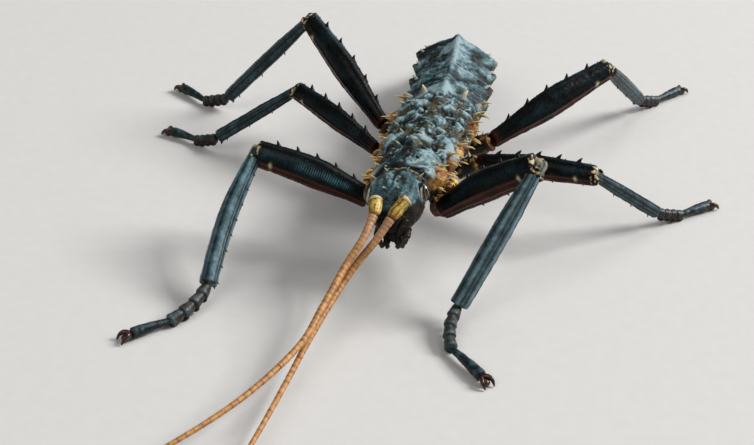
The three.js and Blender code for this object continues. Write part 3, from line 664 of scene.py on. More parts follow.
def leaned(y, across, rise):
    """Points measured across and up from the middle line, put in place and leaned with the body."""
    x, z = middle_line(y)
    lean = np.radians(LEAN["angle"]) * (1 - smooth((y - LEAN["from"]) / (LEAN["to"] - LEAN["from"])))
    c, n = np.cos(lean), np.sin(lean)
    return np.stack(np.broadcast_arrays(x + across * c - rise * n, y, z + across * n + rise * c), axis=-1)


def section(y, angle, swell=1.0):
    """Across and up, from the middle line, of the skin at Y and an angle from the left flank over the back.

    A superellipse that turns from a barrel to a roof towards the tail, with a low ridge on top."""
    width, back, belly = (np.interp(y, GIRTH[:, 0], GIRTH[:, k]) for k in (1, 2, 3))
    tail = smooth((y - ROOF["from"]) / (ROOF["to"] - ROOF["from"]))
    round_back = power(np.sin(angle), mix(ROOF["thorax"], ROOF["abdomen"], tail))
    sideways = power(np.cos(angle), 0.85)
    straight_back = 1 - np.abs(sideways) ** 1.15
    across = sideways * width * swell
    above = np.sin(angle) > 0
    ridge = np.where(above, RIDGE["height"] * hill(across / RIDGE["half_width"]), 0.0)
    lift = np.where(above, back, belly) * swell - RIDGE["height"]
    roof = mix(round_back, straight_back, ROOF["straight"] * tail)
    return across, np.where(above, roof, power(np.sin(angle), 0.8)) * lift + ridge


def body_point(name, share, degrees):
    """The place of the smooth skin at a share of a plate's length and an angle from the left flank."""
    y = mix(*PLATES[name], share)
    return leaned(y, *section(y, np.radians(degrees)))


def is_abdomen(name):
    """Whether a plate is one of the abdomen's."""
    return name.startswith("abdomen")


def plate_skin(name):
    """A plate's smooth skin: rings of the body's section, tucked under the plate in front and rolled in at
    the hind edge. The abdomen's sides spread into a tooth at each hind corner.

    Also gives each point's share u of the plate's length, its Y and how far across it is, and how much it
    belongs to the flank, to the upper side and to the inside of the plate's edges."""
    start, end = PLATES[name]
    abdomen = is_abdomen(name)
    columns = THORAX_COLUMNS
    if abdomen:
        columns = ABDOMEN_COLUMNS if start < TAIL_START else TAIL_COLUMNS
    u = np.linspace(-TUCK / (end - start), 1.0, int((end - start) / RING_STEP))
    u = np.concatenate([u, ROLLED_EDGE[:, 0]])
    flare = 0.04 if abdomen else 0.02
    swell = mix(0.9, 1.0, smooth((u + 0.06) / 0.2)) * (1 + flare * smooth((u - 0.3) / 0.65))
    swell[-len(ROLLED_EDGE):] *= ROLLED_EDGE[:, 1]
    u, swell, angle = u[:, None], swell[:, None], ring_angles(columns)
    y = mix(start, end, u)
    across, rise = section(y, angle, swell)
    if abdomen:
        tooth = smooth((u - 0.3) / 0.45) * smooth((1.02 - u) * 8)
        across = across * (1 + 0.1 * tooth * (stripe(angle, 12, 0.3) + stripe(angle, 168, 0.3)))
    return SimpleNamespace(
        skin=leaned(y, across, rise), u=u, y=y, across=across,
        flank=smooth(1 - np.abs(np.sin(angle)) / 0.5), above=smooth(np.sin(angle) * 2.5 + 0.2),
        inside=smooth((u + 0.05) * 9) * smooth((1.0 - u) * 14),
    )


def flank_lobes(name, skin):
    """How far the rounded lobes on its flanks lift a plate's skin, and how strongly they are stained."""
    lift, stain = np.zeros(skin.shape[:2]), np.zeros(skin.shape[:2])
    for degrees, share, radius, tint in LOBES.get(name, []):
        for around in (degrees, 180 - degrees):
            away = (skin - body_point(name, share, around)) / LOBE_STRETCH
            lobe = hill(np.linalg.norm(away, axis=-1) / radius)
            lift += radius * lobe
            stain = np.maximum(stain, tint * smooth(lobe * 1.8))
    return lift, stain


def plate_form(name, at):
    """How high a plate stands over its smooth skin, and the parts of that which the colours follow: swells,
    crests, warts, pits and grains, then the knobs, a beaded hind rim and the crest of the roof."""
    swells = rough(at.skin, SWELL_MM, 4, seed=1)
    warped = at.skin + 0.7 * np.stack([rough(at.skin, 1.5, 2, seed=k) for k in (61, 62, 63)], axis=-1)
    crests = ridged(warped, CREST_MM, 4, seed=2)
    wart = grains(warped, WART_MM, seed=5)
    grain = grains(at.skin, GRAIN_MM, seed=9)
    pits = spots(grains(warped, PIT_MM, seed=13), 0.27, 4, 2.0) * at.above
    amount = ROUGHNESS.get(name, ABDOMEN_ROUGHNESS) * mix(0.4, 1.0, at.above)
    height = (0.2 * swells + 0.7 * crests + 0.2 * spots(wart, 0.34, 3, 1.3) - 0.5 * pits) * amount
    height += 0.08 * spots(grain, 0.14, 1.7, 0.2)
    knobs = np.zeros_like(height)
    aslant = at.across + warped[..., 0] - at.skin[..., 0]
    for place, aside, tall, reach, breadth in KNOBS.get(name, []):
        for side in (1, -1) if aside else (1,):
            off = mound((warped[..., 1] - place) / reach, (aslant - side * aside) / breadth)
            knobs += tall * off * at.above
    height = height * mix(1.0, 0.6, smooth(np.abs(knobs) * 2)) + knobs
    height += 0.1 * hill((at.u - 0.92) / 0.05) * (1 + hill(wart[0] / 0.5))
    if is_abdomen(name):
        height += 0.22 * hill(at.across / 0.55) * at.above
    tips = spots(grain, 0.2, 9, 8)
    return SimpleNamespace(height=height, knobs=knobs, swells=swells, pits=pits * amount, tips=tips)


def plate_relief(name, at, form):
    """How light a plate is, by how far each point stands out: black in pits, ashen on crests as wear, and
    darker in its hollows as painted shade.
    """
    abdomen = is_abdomen(name)
    # Painted shade and wear: darker where the skin sinks below its neighbours, paler where it stands proud.
    hollow_shade_and_crest_wear = standing_out(form.height, 3) + 0.7 * standing_out(form.height, 14)
    base, contrast = (0.47, 0.9) if abdomen else (0.37, 1.15)
    relief = base + 0.24 * form.height + 0.12 * form.knobs + contrast * hollow_shade_and_crest_wear + 0.3 * form.swells
    relief = relief + 0.3 * np.minimum(0, form.knobs) - 0.3 * form.pits
    # Painted shade: darker on the flanks and underneath, and far darker where the plate tucks under the one
    # in front or rolls in at its hind edge.
    relief = relief * mix(0.6, 1.0, at.above) * mix(0.2, 1.0, at.inside)
    if name == "prothorax":  # paler on top, and black where it goes under the nape, as painted shade under the head
        relief = relief + (0.02 * at.inside - 0.5 * hill((at.y - HEAD["back"] - 0.45) / 0.6)) * at.above
    if abdomen:  # a pale band on each slope of the roof, a painted highlight as on a slope facing the light, and ashen teeth
        band = hill((np.abs(at.across) - 0.8) / 2.2) * (0.75 + 0.5 * rough(at.skin, 1.1, 3, seed=29))
        teeth = smooth(at.flank * 2 - 0.8) * smooth((at.u - 0.5) * 4)
        relief = relief + ((0.3 * band + 0.22 * teeth) * at.above - 0.06) * at.inside
    return relief


def plate_shell(name):
    """One plate: its skin lifted by its form and its lobes, and stained yellow and brown on the flanks."""
    at = plate_skin(name)
    above, flank, inside = at.above, at.flank, at.inside
    form = plate_form(name, at)
    lobes, stained = flank_lobes(name, at.skin)
    relief = plate_relief(name, at, form)
    stain = waves(at.skin, 1.9, seed=21)
    warm = smooth(stain * 2.0) * flank * 0.8 + 0.3 * smooth(stain * 2 - 0.5) * (1 - above)
    pale = 0.5 * form.tips * above + 0.5 * flank * smooth(waves(at.skin, 0.7, seed=23) * 2.4 - 0.6)
    if name in ("mesothorax", "metathorax"):  # a faint olive tinge between the frosted crests
        olive = smooth(waves(at.skin, 1.3, seed=30) * 2.4) * above * smooth(1.3 - relief * 1.6)
        pale = pale + 0.07 * olive
    if is_abdomen(name):
        warm, pale = warm * 0.15, pale * 0.4
    warm = mix(warm, smooth(0.7 + 1.5 * waves(at.skin, 2.6, seed=27)), 0.95 * stained)
    pale = np.maximum(pale, 0.6 * stained * smooth(0.1 + rough(at.skin, 1.0, 3, seed=28) * 2.4))
    relief = relief - 0.12 * stained
    if name in ("prothorax", "mesothorax"):  # a worn, ashen front margin
        margin = hill((at.u - 0.12) / 0.1) * smooth(np.abs(at.across) / 2 - 0.7) * above
        relief = relief + 0.35 * margin * smooth(waves(at.skin, 0.6, seed=25) * 3 + 0.3)
    rings = lifted(at.skin, (form.height + 0.8 * lobes) * inside)
    return closed_skin(rings, relief, warm * inside, np.clip(pale, 0, 0.9) * inside)


def flank_spine(name, side, degrees, share, length, radius, lean, warm, pale):
    """A spine that stands square on a plate's skin and leans towards the tail. The abdomen's are ashen."""
    root = body_point(name, share, degrees if side > 0 else 180 - degrees)
    a = math.radians(degrees)
    out = unit(np.array([side * math.cos(a), lean, math.sin(a)]))
    return thorn(root, root + out * length, radius, warm, pale, 0.75 if is_abdomen(name) else 0.45)


def prickle(name, side, heart, spread, key):
    """A small spine near the heart of a tuft: numbers scattered by its key and side set its place, angle,
    size, colour and lean."""
    place, turn, size, tint, lean = (float(scatter(np.array([key, side, k]), 3)) for k in range(5))
    share = heart + 0.16 * spread + 0.08 * (place - 0.5)
    length, radius = 0.7 + 2.0 * size**1.6, 0.2 + 0.2 * size
    return flank_spine(name, side, -12 + 46 * turn, share, length, radius, lean - 0.5, 0.3 + 0.7 * tint, 0.9)


def spine_shells(name):
    """The plate's big spines on both sides, then the tufts of prickles on its flanks."""
    shells = [flank_spine(name, side, *spine) for spine in SPINES.get(name, []) for side in (1, -1)]
    for tuft, (heart, count) in enumerate(PRICKLES.get(name, [])):
        for number in range(count):
            spread = number / (count - 1) - 0.5
            shells += [prickle(name, side, heart, spread, number + 17 * tuft) for side in (1, -1)]
    return shells


def tail_feeler(side):
    """One of the two short feelers at the tail's end."""
    x, z = middle_line(TAIL_END)
    root = np.array([x + side * 0.75, TAIL_END + 0.1, z + 0.1])
    end = np.array([x + side * 1.1, TAIL_END + 1.6, z - 0.05])
    t = end_weighted(24)
    thick = mix(0.42, 0.3, t) * rounded_ends(t, 1.5, 0.1, 0.35)
    return closed_skin(tube(straight(root, end, t), thick, thick, 24), 0.4)


def make_body():
    """Every plate with its spines, and the two short feelers at the tail."""
    for name in PLATES:
        piece("shell_" + name, [plate_shell(name)] + spine_shells(name), BACK, name)
    for name, side in SIDES.items():
        piece("tail_feeler_" + name, [tail_feeler(side)], BACK, "cercus_" + name)


# ---------- the head ----------


def head_place(x, y, z):
    """Points of the head, measured from its own middle plane, leaned with the neck."""
    return leaned(y, x, z - middle_line(y)[1])


def mirrored(side, point):
    """A point of the head on one of its sides."""
    return head_place(side * point[0], *point[1:])


def head_skin(t, angle):
    """The smooth capsule: a superellipse, flat on top, widest at the eyes, its face sloping forward to the
    mouth. Also how far across and along the head each point is."""
    ends = mix(0.25, 1.0, rounded_ends(t, HEAD["back"] - HEAD["front"], 0.9, 0.8))
    half_sizes = (HEAD_WIDTH, HEAD_TOP, HEAD_UNDER)
    width, top, under = ((three_point(values, t) * ends)[:, None] for values in half_sizes)
    across = power(np.cos(angle), 0.7) * width
    rise = power(np.sin(angle), 0.7) * np.where(np.sin(angle) > 0, top, under)
    t = t[:, None]
    forward = FACE_SLOPE * (1 - t) ** 2 * np.maximum(0.0, -rise / under)
    y = mix(HEAD["front"], HEAD["back"], t) - forward
    return head_place(across, y, HEAD["middle_z"] + rise), across, y


def head_shell():
    """The capsule: its crown has a raised edge, a seam, pits and a beaded nape, and each eye a ring."""
    t, angle = end_weighted(190), ring_angles(320)
    skin, across, y = head_skin(t, angle)
    t = t[:, None]
    crown = smooth(np.sin(angle) * 3 - 1.2)
    cheek = smooth(-np.sin(angle) * 2 + 0.6)
    swells = rough(skin, 1.8, 4, seed=31)
    grain = grains(skin, 0.4, seed=33)
    height = 0.07 * swells + 0.07 * spots(grain, 0.13, 1.8)
    height += 0.12 * ridged(skin, 1.3, 3, seed=34)
    rim = hill((np.abs(across) - 3.1) / 0.35) * crown * smooth(t * 5)
    nape = hill((t - 0.93) / 0.045) * crown
    height += 0.16 * rim + 0.25 * nape * (0.5 + 0.9 * np.abs(waves(skin, 0.9, seed=35)))
    for place, aside, tall, reach, breadth in CROWN_KNOBS:
        for side in (1, -1):
            height += tall * mound((y - place) / reach, (across - side * aside) / breadth) * crown
    seam = hill(across / 0.13) * crown * smooth(t * 5 - 1)
    pits = spots(grains(skin, 1.1, seed=40), 0.2, 4, 2.2) * crown * smooth(t * 3 - 0.6)
    height -= 0.14 * seam + 0.22 * pits
    for side in (1, -1):
        away = (skin - mirrored(side, EYE["place"])) / (1.0, 1.0, EYE["stretch"][2])
        height += 0.16 * hill((np.linalg.norm(away, axis=-1) - EYE["radius"] * 1.08) / 0.2)
    # Painted shade and wear: darker where the skin sinks below its neighbours, paler where it stands proud.
    hollow_shade_and_crest_wear = standing_out(height, 3) + 0.6 * standing_out(height, 12)
    relief = 0.47 + 0.2 * height + 1.9 * hollow_shade_and_crest_wear + 0.12 * swells + 0.12 * nape - 0.25 * pits
    # A black line across the crown just ahead of the nape; and painted shade, darker on the sides and
    # underneath of the head.
    relief = (relief - 0.4 * hill((t - 0.86) / 0.035) * crown) * mix(1.0, 0.45, cheek)
    warm = 0.08 * cheek * smooth(waves(skin, 1.6, seed=37) * 2)
    flecks = spots(grain, 0.16, 16, 15)
    pale = 0.4 * nape * smooth(waves(skin, 0.5, seed=39) * 4 - 0.6) + 0.7 * flecks * crown
    return closed_skin(lifted(skin, height), relief, warm, np.clip(pale, 0, 0.9))


def mouth_rod(side, start, end, heights, widths, ends, relief, warm, pale=0.0, columns=28):
    """A rounded length of the mouthparts, with its half sizes at its start, middle and end."""
    t = end_weighted(24)
    start, end = mirrored(side, start), mirrored(side, end)
    rings = limb(start, end, t, three_point(heights, t), three_point(widths, t), columns, ends)
    return closed_skin(rings, relief, warm, pale)


def mouth_shells():
    """The two lips, then on each side the jaws and the two jointed palps, whose joints overlap."""
    shells = [mouth_rod(1, *lip) for lip in LIPS]
    for side in (1, -1):
        shells += [mouth_rod(side, *jaw) for jaw in JAWS]
        for radius, chain in PALPS:
            chain = np.array(chain)
            for k, (a, b) in enumerate(zip(chain, chain[1:])):
                r = radius * (1 - 0.08 * k)
                girths = (r * 0.6, r * 0.85, r)
                a = a - 0.3 * (b - a)
                shells.append(mouth_rod(side, a, b, girths, girths, (0.3, 0.25), 0.42, 0.2, 0.05 * k, 24))
    return shells


# Cream streaks of an eye: degrees round it, half width in radians, and strength.
EYE_STREAKS = ((-84, 0.13, 1.0), (-50, 0.05, 0.25), (-22, 0.06, 0.5), (16, 0.05, 0.2), (58, 0.12, 0.8))


def eye_shell(side):
    """An egg-shaped eye, poles up and down, with cream streaks that run from pole to pole and fade out."""
    rows, columns = 60, 96
    rings = ball(mirrored(side, EYE["place"]), np.array(EYE["stretch"]) * EYE["radius"], rows, columns)
    angle = ring_angles(columns)
    around = np.where(side > 0, angle, np.pi - angle)  # 0 looks outwards, -90 degrees forwards
    polar = np.linspace(0, 1, rows)[:, None]
    wave = 0.12 * np.sin(polar * 7) + 0.08 * waves(rings, 0.8, seed=45)
    streaks = sum(stripe(around + wave, place, width) * dose for place, width, dose in EYE_STREAKS)
    pale = np.clip(streaks, 0, 1) * smooth(polar * 6 - 0.6) * smooth((1 - polar) * 6 - 0.6)
    return closed_skin(rings, 0.3 + 0.15 * waves(rings, 0.5, seed=46), 0.2, pale * 0.85)


def make_head():
    """The capsule with its spines, the mouthparts and the eyes."""
    shells = [head_shell()]
    for root, tip, *looks in HEAD_SPINES:
        shells += [thorn(mirrored(side, root), mirrored(side, tip), *looks) for side in (1, -1)]
    piece("head_capsule", shells, BACK, "head")
    piece("mouthparts", mouth_shells(), MOUTH, "mouth")
    for name, side in SIDES.items():
        piece("eye_ball_" + name, [eye_shell(side)], EYE_SKIN, "eye_" + name)


# ---------- the feelers ----------


def smooth_curve(points, samples):
    """A Catmull-Rom curve through the points, sampled evenly along its length; also the length so far."""
    p = np.asarray(points, float)
    p = np.concatenate([[2 * p[0] - p[1]], p, [2 * p[-1] - p[-2]]])
    s = np.linspace(0, 1, 60, endpoint=False)[:, None]
    parts = []
    for a, b, c, d in zip(p, p[1:], p[2:], p[3:]):
        curved = (2 * a - 5 * b + 4 * c - d) * s**2 + (3 * b - a - 3 * c + d) * s**3
        parts.append(0.5 * (2 * b + (c - a) * s + curved))
    line = np.concatenate(parts + [p[-2:-1]])
    run = np.concatenate([[0], np.cumsum(np.linalg.norm(np.diff(line, axis=0), axis=1))])
    even = np.linspace(0, run[-1], samples)
    return np.stack([np.interp(even, run, line[:, k]) for k in range(3)], axis=-1), even


def socket_rim(root, end):
    """The raised collar that a feeler springs from: a circle carried round the feeler's axis."""
    direction = unit(end - root)
    side, up = across_limb(direction)
    rows, columns = 60, 16
    turns, rim = ring_angles(rows)[0], ring_angles(columns)[0]
    out = np.cos(turns)[:, None] * side + np.sin(turns)[:, None] * up
    radius = FEELER["scape"] * FEELER["scape_flat"] + 0.2 * np.cos(rim)
    along = 0.62 + 0.26 * np.sin(rim)
    points = root + out[:, None] * radius[None, :, None] + direction * along[None, :, None]
    index = np.arange(rows * columns).reshape(rows, columns)
    ahead = np.roll(index, -1, axis=0)
    quads = np.stack([index, np.roll(index, -1, axis=1), np.roll(ahead, -1, axis=1), ahead], axis=-1)
    worn = rough(points, 0.7, 3, seed=42).ravel()
    fields = (0.4 + 0.1 * worn, 0.45 * smooth(0.5 - worn), 0.75 * smooth(worn + 0.6))
    return shell_of(points.reshape(-1, 3), quads.reshape(-1, 4), np.zeros((0, 3), int), fields)


def scape_shells(root, end):
    """The thick first joint, wrinkled lengthwise, dotted and streaked, and the collar round its root."""
    columns = 96
    t = end_weighted(120)
    thick = FEELER["scape"] * mix(0.78, 1.0, smooth(t * 4)) * mix(1.0, 0.8, smooth(t * 3 - 2))
    rings = limb(root, end, t, thick * FEELER["scape_flat"], thick, columns, ends=(0.2, 0.35))
    wrinkle = rough(rings * (1, 0.45, 1), 0.7, 3, seed=41)
    dots = spots(grains(rings * (1, 0.6, 1), 0.42, seed=43), 0.12, 3, 1)
    rings = lifted(rings, 0.04 * wrinkle)
    streak = smooth(1.5 * np.cos(7 * ring_angles(columns) + 1.6 * waves(rings, 0.9, seed=44)) - 0.4)
    relief = 0.5 + 0.12 * wrinkle - 0.34 * dots - 0.12 * streak
    warm = 0.6 * smooth(t[:, None] * 4 - 3)
    return [closed_skin(rings, relief, warm, 0.15 * smooth(wrinkle * 2)), socket_rim(root, end)]


def make_feelers():
    """Each feeler's thick first joint, then the whip: a tapering tube with a waist at each of its joints."""
    for name, points in FEELERS.items():
        shells = scape_shells(*np.array(points[:2]))
        piece("feeler_base_" + name, shells, SCAPE, f"feeler_{name}_scape")

        line, run = smooth_curve(points[1:], 2400)
        share = run / run[-1]
        joint = np.cumsum(np.gradient(run) / mix(*RING_MM, share)) % 1.0
        waist = hill(np.minimum(joint, 1 - joint) / 0.1)
        radius = mix(FEELER["start"], FEELER["end"], share**0.8)
        radius = radius * (1 + 0.03 * smooth(joint * 1.4 - 0.2) - 0.035 * waist)
        radius = radius * mix(1.12, 1.0, smooth((run - 0.9) / 0.4))
        bounds = (0.0, FEELER["split_at"], 1.0)
        for part, (low, high) in enumerate(zip(bounds, bounds[1:]), start=1):
            keep = (share >= low) & (share <= high)
            t = np.linspace(0, 1, keep.sum())
            r = radius[keep] * rounded_ends(t, np.ptp(run[keep]), 0.12, 0.12)
            rings = tube(line[keep], r, r, 20)
            relief = 0.49 - 0.12 * waist[keep][:, None] + 0.12 * rough(rings, 0.6, 3, seed=47)
            rosy = smooth(1 - run[keep] / 9)[:, None]
            shells = [closed_skin(rings, relief, 0.0, 0.5 * rosy)]
            piece(f"feeler_whip_{name}_{part}", shells, WHIP, f"feeler_{name}_{part}")


# ---------- the legs ----------

REARWARD = (0, 1, 0)
RIB_MM = 0.36  # spacing of the thigh's cross ribs


def thorn_rows(rows, start, end, heights, widths, toward, arch=(0, 0, 0)):
    """Rows of thorns along a limb, at angles from its top ridge towards a direction, leaning to its end."""
    direction = unit(end - start)
    side, up = across_limb(direction)
    side = side * (1 if side @ np.asarray(toward) >= 0 else -1)
    shells = []
    for count, size, turn, low, high, slim, warm, pale in rows:
        c, n = math.cos(math.radians(turn)), math.sin(math.radians(turn))
        ridge = up * c + side * n
        for t in np.linspace(low, high, count):
            reach = 0.9 / math.hypot(c / float(three_point(heights, t)), n / float(three_point(widths, t)))
            root = start + (end - start) * t + np.asarray(arch) * math.sin(math.pi * t) + ridge * reach
            tip = root + unit(ridge + 0.55 * direction) * size
            shells.append(thorn(root, tip, size * slim, warm, pale, relief=0.3, sunk=0.35, columns=8))
    return shells


def keeled_limb(start, end, heights, widths, rows, columns, ends, square, keels, keel_height, seed, arch):
    """A leg's length, with a keel at each given angle: its rings, its height and the shares of its length."""
    t = end_weighted(rows)
    half_sizes = three_point(heights, t), three_point(widths, t)
    rings = limb(start, end, t, *half_sizes, columns, ends, square, arch=arch)
    keel = sum(stripe(ring_angles(columns), a, 0.12) for a in keels)
    beads = spots(grains(rings, 0.5, seed + 1), 0.15, 1.8)
    length = span(start, end)
    inner = (smooth(t * length / 0.7) * smooth((1 - t) * length / 0.7))[:, None]
    height = keel_height * keel * (1 + 0.3 * waves(rings, 0.7, seed + 2))
    height = height + 0.04 * beads + 0.04 * rough(rings, 1.5, 3, seed + 3)
    return rings, height * inner, t[:, None]


def hip_shells(base, knee, girth, lumps):
    """The hip, a knobbly cone with the ring of the trochanter at its end, then its lumps and prickles."""
    outward = np.sign(base[0])
    root = base + np.array(girth["hip_root"]) * (-outward, 1, 1)
    end = base - unit(knee - base) * 0.1
    t = end_weighted(90)
    thick = mix(HIP_RADIUS, girth["femur"][0] * 1.08, smooth(t))
    rings = limb(root, end, t, thick, thick, columns=110, ends=(0.4, 0.35))
    t = t[:, None]
    grain = grains(rings, 0.9, seed=52)
    height = 0.14 * rough(rings, 1.3, 3, seed=51) + 0.3 * spots(grain, 0.32, 2, 0.4)
    height = height - 0.22 * hill((t - 0.74) / 0.05)
    # Darker in its hollows as painted shade, and paler on what stands proud.
    relief = 0.34 + 0.5 * height + 1.2 * standing_out(height, 4)
    warm = 0.5 * smooth(t * 5 - 3.6) * smooth(0.7 - waves(rings, 1.5, seed=53))
    warm = warm + 0.3 * smooth(waves(rings, 1.3, seed=54) * 2)
    shells = [closed_skin(lifted(rings, height), relief, warm, 0.8 * spots(grain, 0.34, 4, 2.2))]
    for number, (outwards, backwards, upwards, radius) in enumerate(lumps):
        centre = base + (outward * outwards, backwards, upwards)
        lump = ball(centre, radius * np.array([0.8, 1, 0.75]), 44, 64)
        worn = rough(lump, 0.9, 3, seed=56 + number)
        sunlit = unit(lump - lump.mean(axis=(0, 1)))[..., 2]
        cream = 0.9 * smooth(0.45 + worn * 2.2 + 0.3 * sunlit)
        looks = 0.5 + 0.2 * worn, 0.9 * smooth(0.6 - worn), cream
        shells.append(closed_skin(lifted(lump, 0.16 * worn), *looks))
    girths = (HIP_RADIUS,) * 3
    return shells + thorn_rows(HIP_THORNS, root, root + unit(end - root) * 3.4, girths, girths, REARWARD)


def thigh_skin(start, end, girth, face_sheen, rear, arch):
    """A diamond with six keels, cross-ribbed on the front of its upper side, where a blue sheen is painted,
    brown underneath, cream at the knee. rear is the sign of the angles on its rear side."""
    keels = (rear * THORN_LEAN, -rear * 98, -rear * 128, -rear * 152, 180, rear * 105)
    columns = 120
    rings, height, t = keeled_limb(
        start, end, girth["femur"], girth["femur_width"], rows=260, columns=columns, ends=(0.35, 0.7),
        square=1.1, keels=keels, keel_height=0.15, seed=60, arch=arch,
    )
    angle = ring_angles(columns)
    # The upper front face: a painted blue sheen with its ribs, strongest on the front right thigh.
    face = stripe(angle, -rear * 60, 0.44) * smooth(t * 7 - 0.6) * smooth((1 - t) * 20 - 0.8)
    face = face * mix(0.6, 1.0, smooth(0.5 + waves(rings, 3.0, seed=65)))
    ribs = np.cos(2 * np.pi * (t * span(start, end) / RIB_MM + 0.25 * waves(rings, 1.4, seed=64)))
    ribs = ribs * smooth((0.9 - t) * 8) * face
    height = height + 0.022 * ribs
    under = smooth(-np.cos(angle) * 3 + 0.1)
    # A painted sheen along the upper rear of the thigh towards the knee, on the middle and hind legs.
    rear_sheen = girth["rear_sheen"] * stripe(angle, rear * 40, 0.7) * smooth(t * 2.5 - 0.9)
    # Painted shade and highlight: darker in the hollows, paler on the keels that stand proud.
    relief = 0.4 + 1.2 * standing_out(height, 5) + (0.34 * face + 0.13 * ribs) * face_sheen - 0.06 * under
    relief = relief + rear_sheen + 0.07 * rough(rings, 1.6, 4, seed=69)
    warm = 0.9 * under * smooth(waves(rings, 2.2, seed=66) + 0.9) + 0.4 * smooth((0.07 - t) * 20)
    cheek = smooth((t - 0.94) * 25)
    warm = warm + 0.3 * cheek * (1 - warm)
    spot = hill((t - 0.84) / 0.013) * stripe(angle, -rear * 104, 0.24)
    pale = spot + 0.75 * cheek * smooth(waves(rings, 0.38, seed=67) * 5 - 0.5)
    return closed_skin(lifted(rings, height), relief, warm, pale)


def knee_cheek(centre, axes):
    """One of the two flat cheeks that hold the knee, specked with cream."""
    rows = 24
    rings = ball(centre, (0.75, 0.95, 0.34), rows, 40, axes)
    rim = hill((np.linspace(0, 1, rows)[:, None] - 0.5) / 0.2) * smooth(waves(rings, 0.6, seed=68) * 3)
    specks = smooth(waves(rings, 0.32, seed=76) * 4 + 1.2 * rim - 0.6)
    return closed_skin(rings, 0.42, 0.3, 0.8 * specks)


def thigh_shells(base, knee, girth, face_sheen):
    """The thigh, its rows of thorns and the cheeks of its knee."""
    way = unit(knee - base)
    side, up = across_limb(way)
    arch = girth["bow"] * up
    shells = [thigh_skin(base - way * 0.1, knee + way * 0.35, girth, face_sheen, 1 if side[1] > 0 else -1, arch)]
    heights, widths = girth["femur"], girth["femur_width"]
    shells += thorn_rows(THIGH_THORNS, base + way * 0.15, knee + way * 0.2, heights, widths, REARWARD, arch)
    for hand in (1, -1):
        centre = knee + side * hand * widths[2] * 0.8 - up * 0.2 + way * 0.1
        shells.append(knee_cheek(centre, (way, up, side)))
    return shells


def shank_shells(knee, ankle, girth, swing, outward):
    """The shank: keels with bloomed grooves between them, and prickles down its inner edge."""
    down = unit(ankle - knee)
    start, end = knee - down * 1.3, ankle - down * 0.1
    arch = swing * across_limb(down)[0]
    girths = girth["tibia"]
    columns = 110
    rings, height, t = keeled_limb(
        start, end, tuple(np.array(girths) * (1.1, 1, 1)), girths, rows=240, columns=columns,
        ends=(0.7, 0.25), square=0.88, keels=SHANK_KEELS, keel_height=0.13, seed=70, arch=arch,
    )
    band = sum(stripe(ring_angles(columns), a + 34, 0.46) for a in SHANK_KEELS)
    # Painted shade and highlight: darker in the hollows, paler on the keels that stand proud.
    relief = 0.32 + 1.1 * standing_out(height, 5) + 0.8 * height + girth["shank_bloom"] * band
    relief = relief + 0.08 * rough(rings, 1.2, 4, seed=74)
    warm = 0.3 * smooth((0.08 - t) * 12) + 0.3 * smooth((t - 0.96) * 20)
    pale = 0.7 * smooth((0.1 - t) * 14) * smooth(waves(rings, 0.6, seed=75) * 3 + 0.2)
    shells = [closed_skin(lifted(rings, height), relief, warm, pale)]
    return shells + thorn_rows(SHANK_THORNS, start, end, girths, girths, (-outward, 0, 0), arch)


def foot_shells(ankle, bend, tip, girth, outward):
    """Four short joints on a curve, each widening to its end over a soft pad, and the long last joint."""
    shells = []
    columns = 52
    angle = ring_angles(columns)

    def place(n):
        share = n / (TOE_JOINTS + 0.12)
        swing = -outward * girth["foot_swing"] * math.sin(math.pi * share)
        return ankle + (bend - ankle) * share + np.array([swing, 0, 0])

    for i in range(TOE_JOINTS):
        a, b = place(i + 0.02), place(i + 1.14)
        t = end_weighted(44)
        thick = girth["foot"] * mix(0.78, 1.1, t)
        under = mix(1.0, 1.5, smooth(t * 2.2) * smooth((1 - t) * 5))
        rings = grounded(limb(a, b, t, thick, thick, columns, ends=(0.25, 0.45), under=under))
        bead = rough(rings, 0.6, 3, seed=80 + i)
        t = t[:, None]
        waist, swelling = hill((t - 0.05) / 0.1), hill((t - 0.85) / 0.1)
        # Painted highlight and shade: each joint a little paler on top than underneath.
        relief = 0.44 + 0.15 * bead + 0.08 * np.cos(angle) - 0.2 * waist + 0.08 * swelling
        shells.append(closed_skin(grounded(lifted(rings, 0.05 * bead)), relief, 0.2, 0.03))
        low = a + (b - a) * 0.72
        low[2] = max(low[2] - girth["foot"] * 1.25, 0.42)
        shells.append(closed_skin(grounded(ball(low, (0.66, 0.66, 0.5), 16, 28)), 0.22, 0.25))
    start = bend + (tip - bend) * -0.06
    t = end_weighted(60)
    thick = mix(0.5, 0.85, smooth(t))
    rings = grounded(limb(start, tip, t, thick, thick, columns, ends=(0.3, 0.4), arch=(0, 0, 0.12)))
    bead = rough(rings, 0.7, 3, seed=88)
    # Painted highlight and shade: paler on top than underneath.
    relief = 0.4 + 0.15 * bead + 0.08 * np.cos(angle)
    warm = 0.4 * smooth((t[:, None] - 0.85) * 6)
    return shells + [closed_skin(grounded(lifted(rings, 0.04 * bead)), relief, warm)]


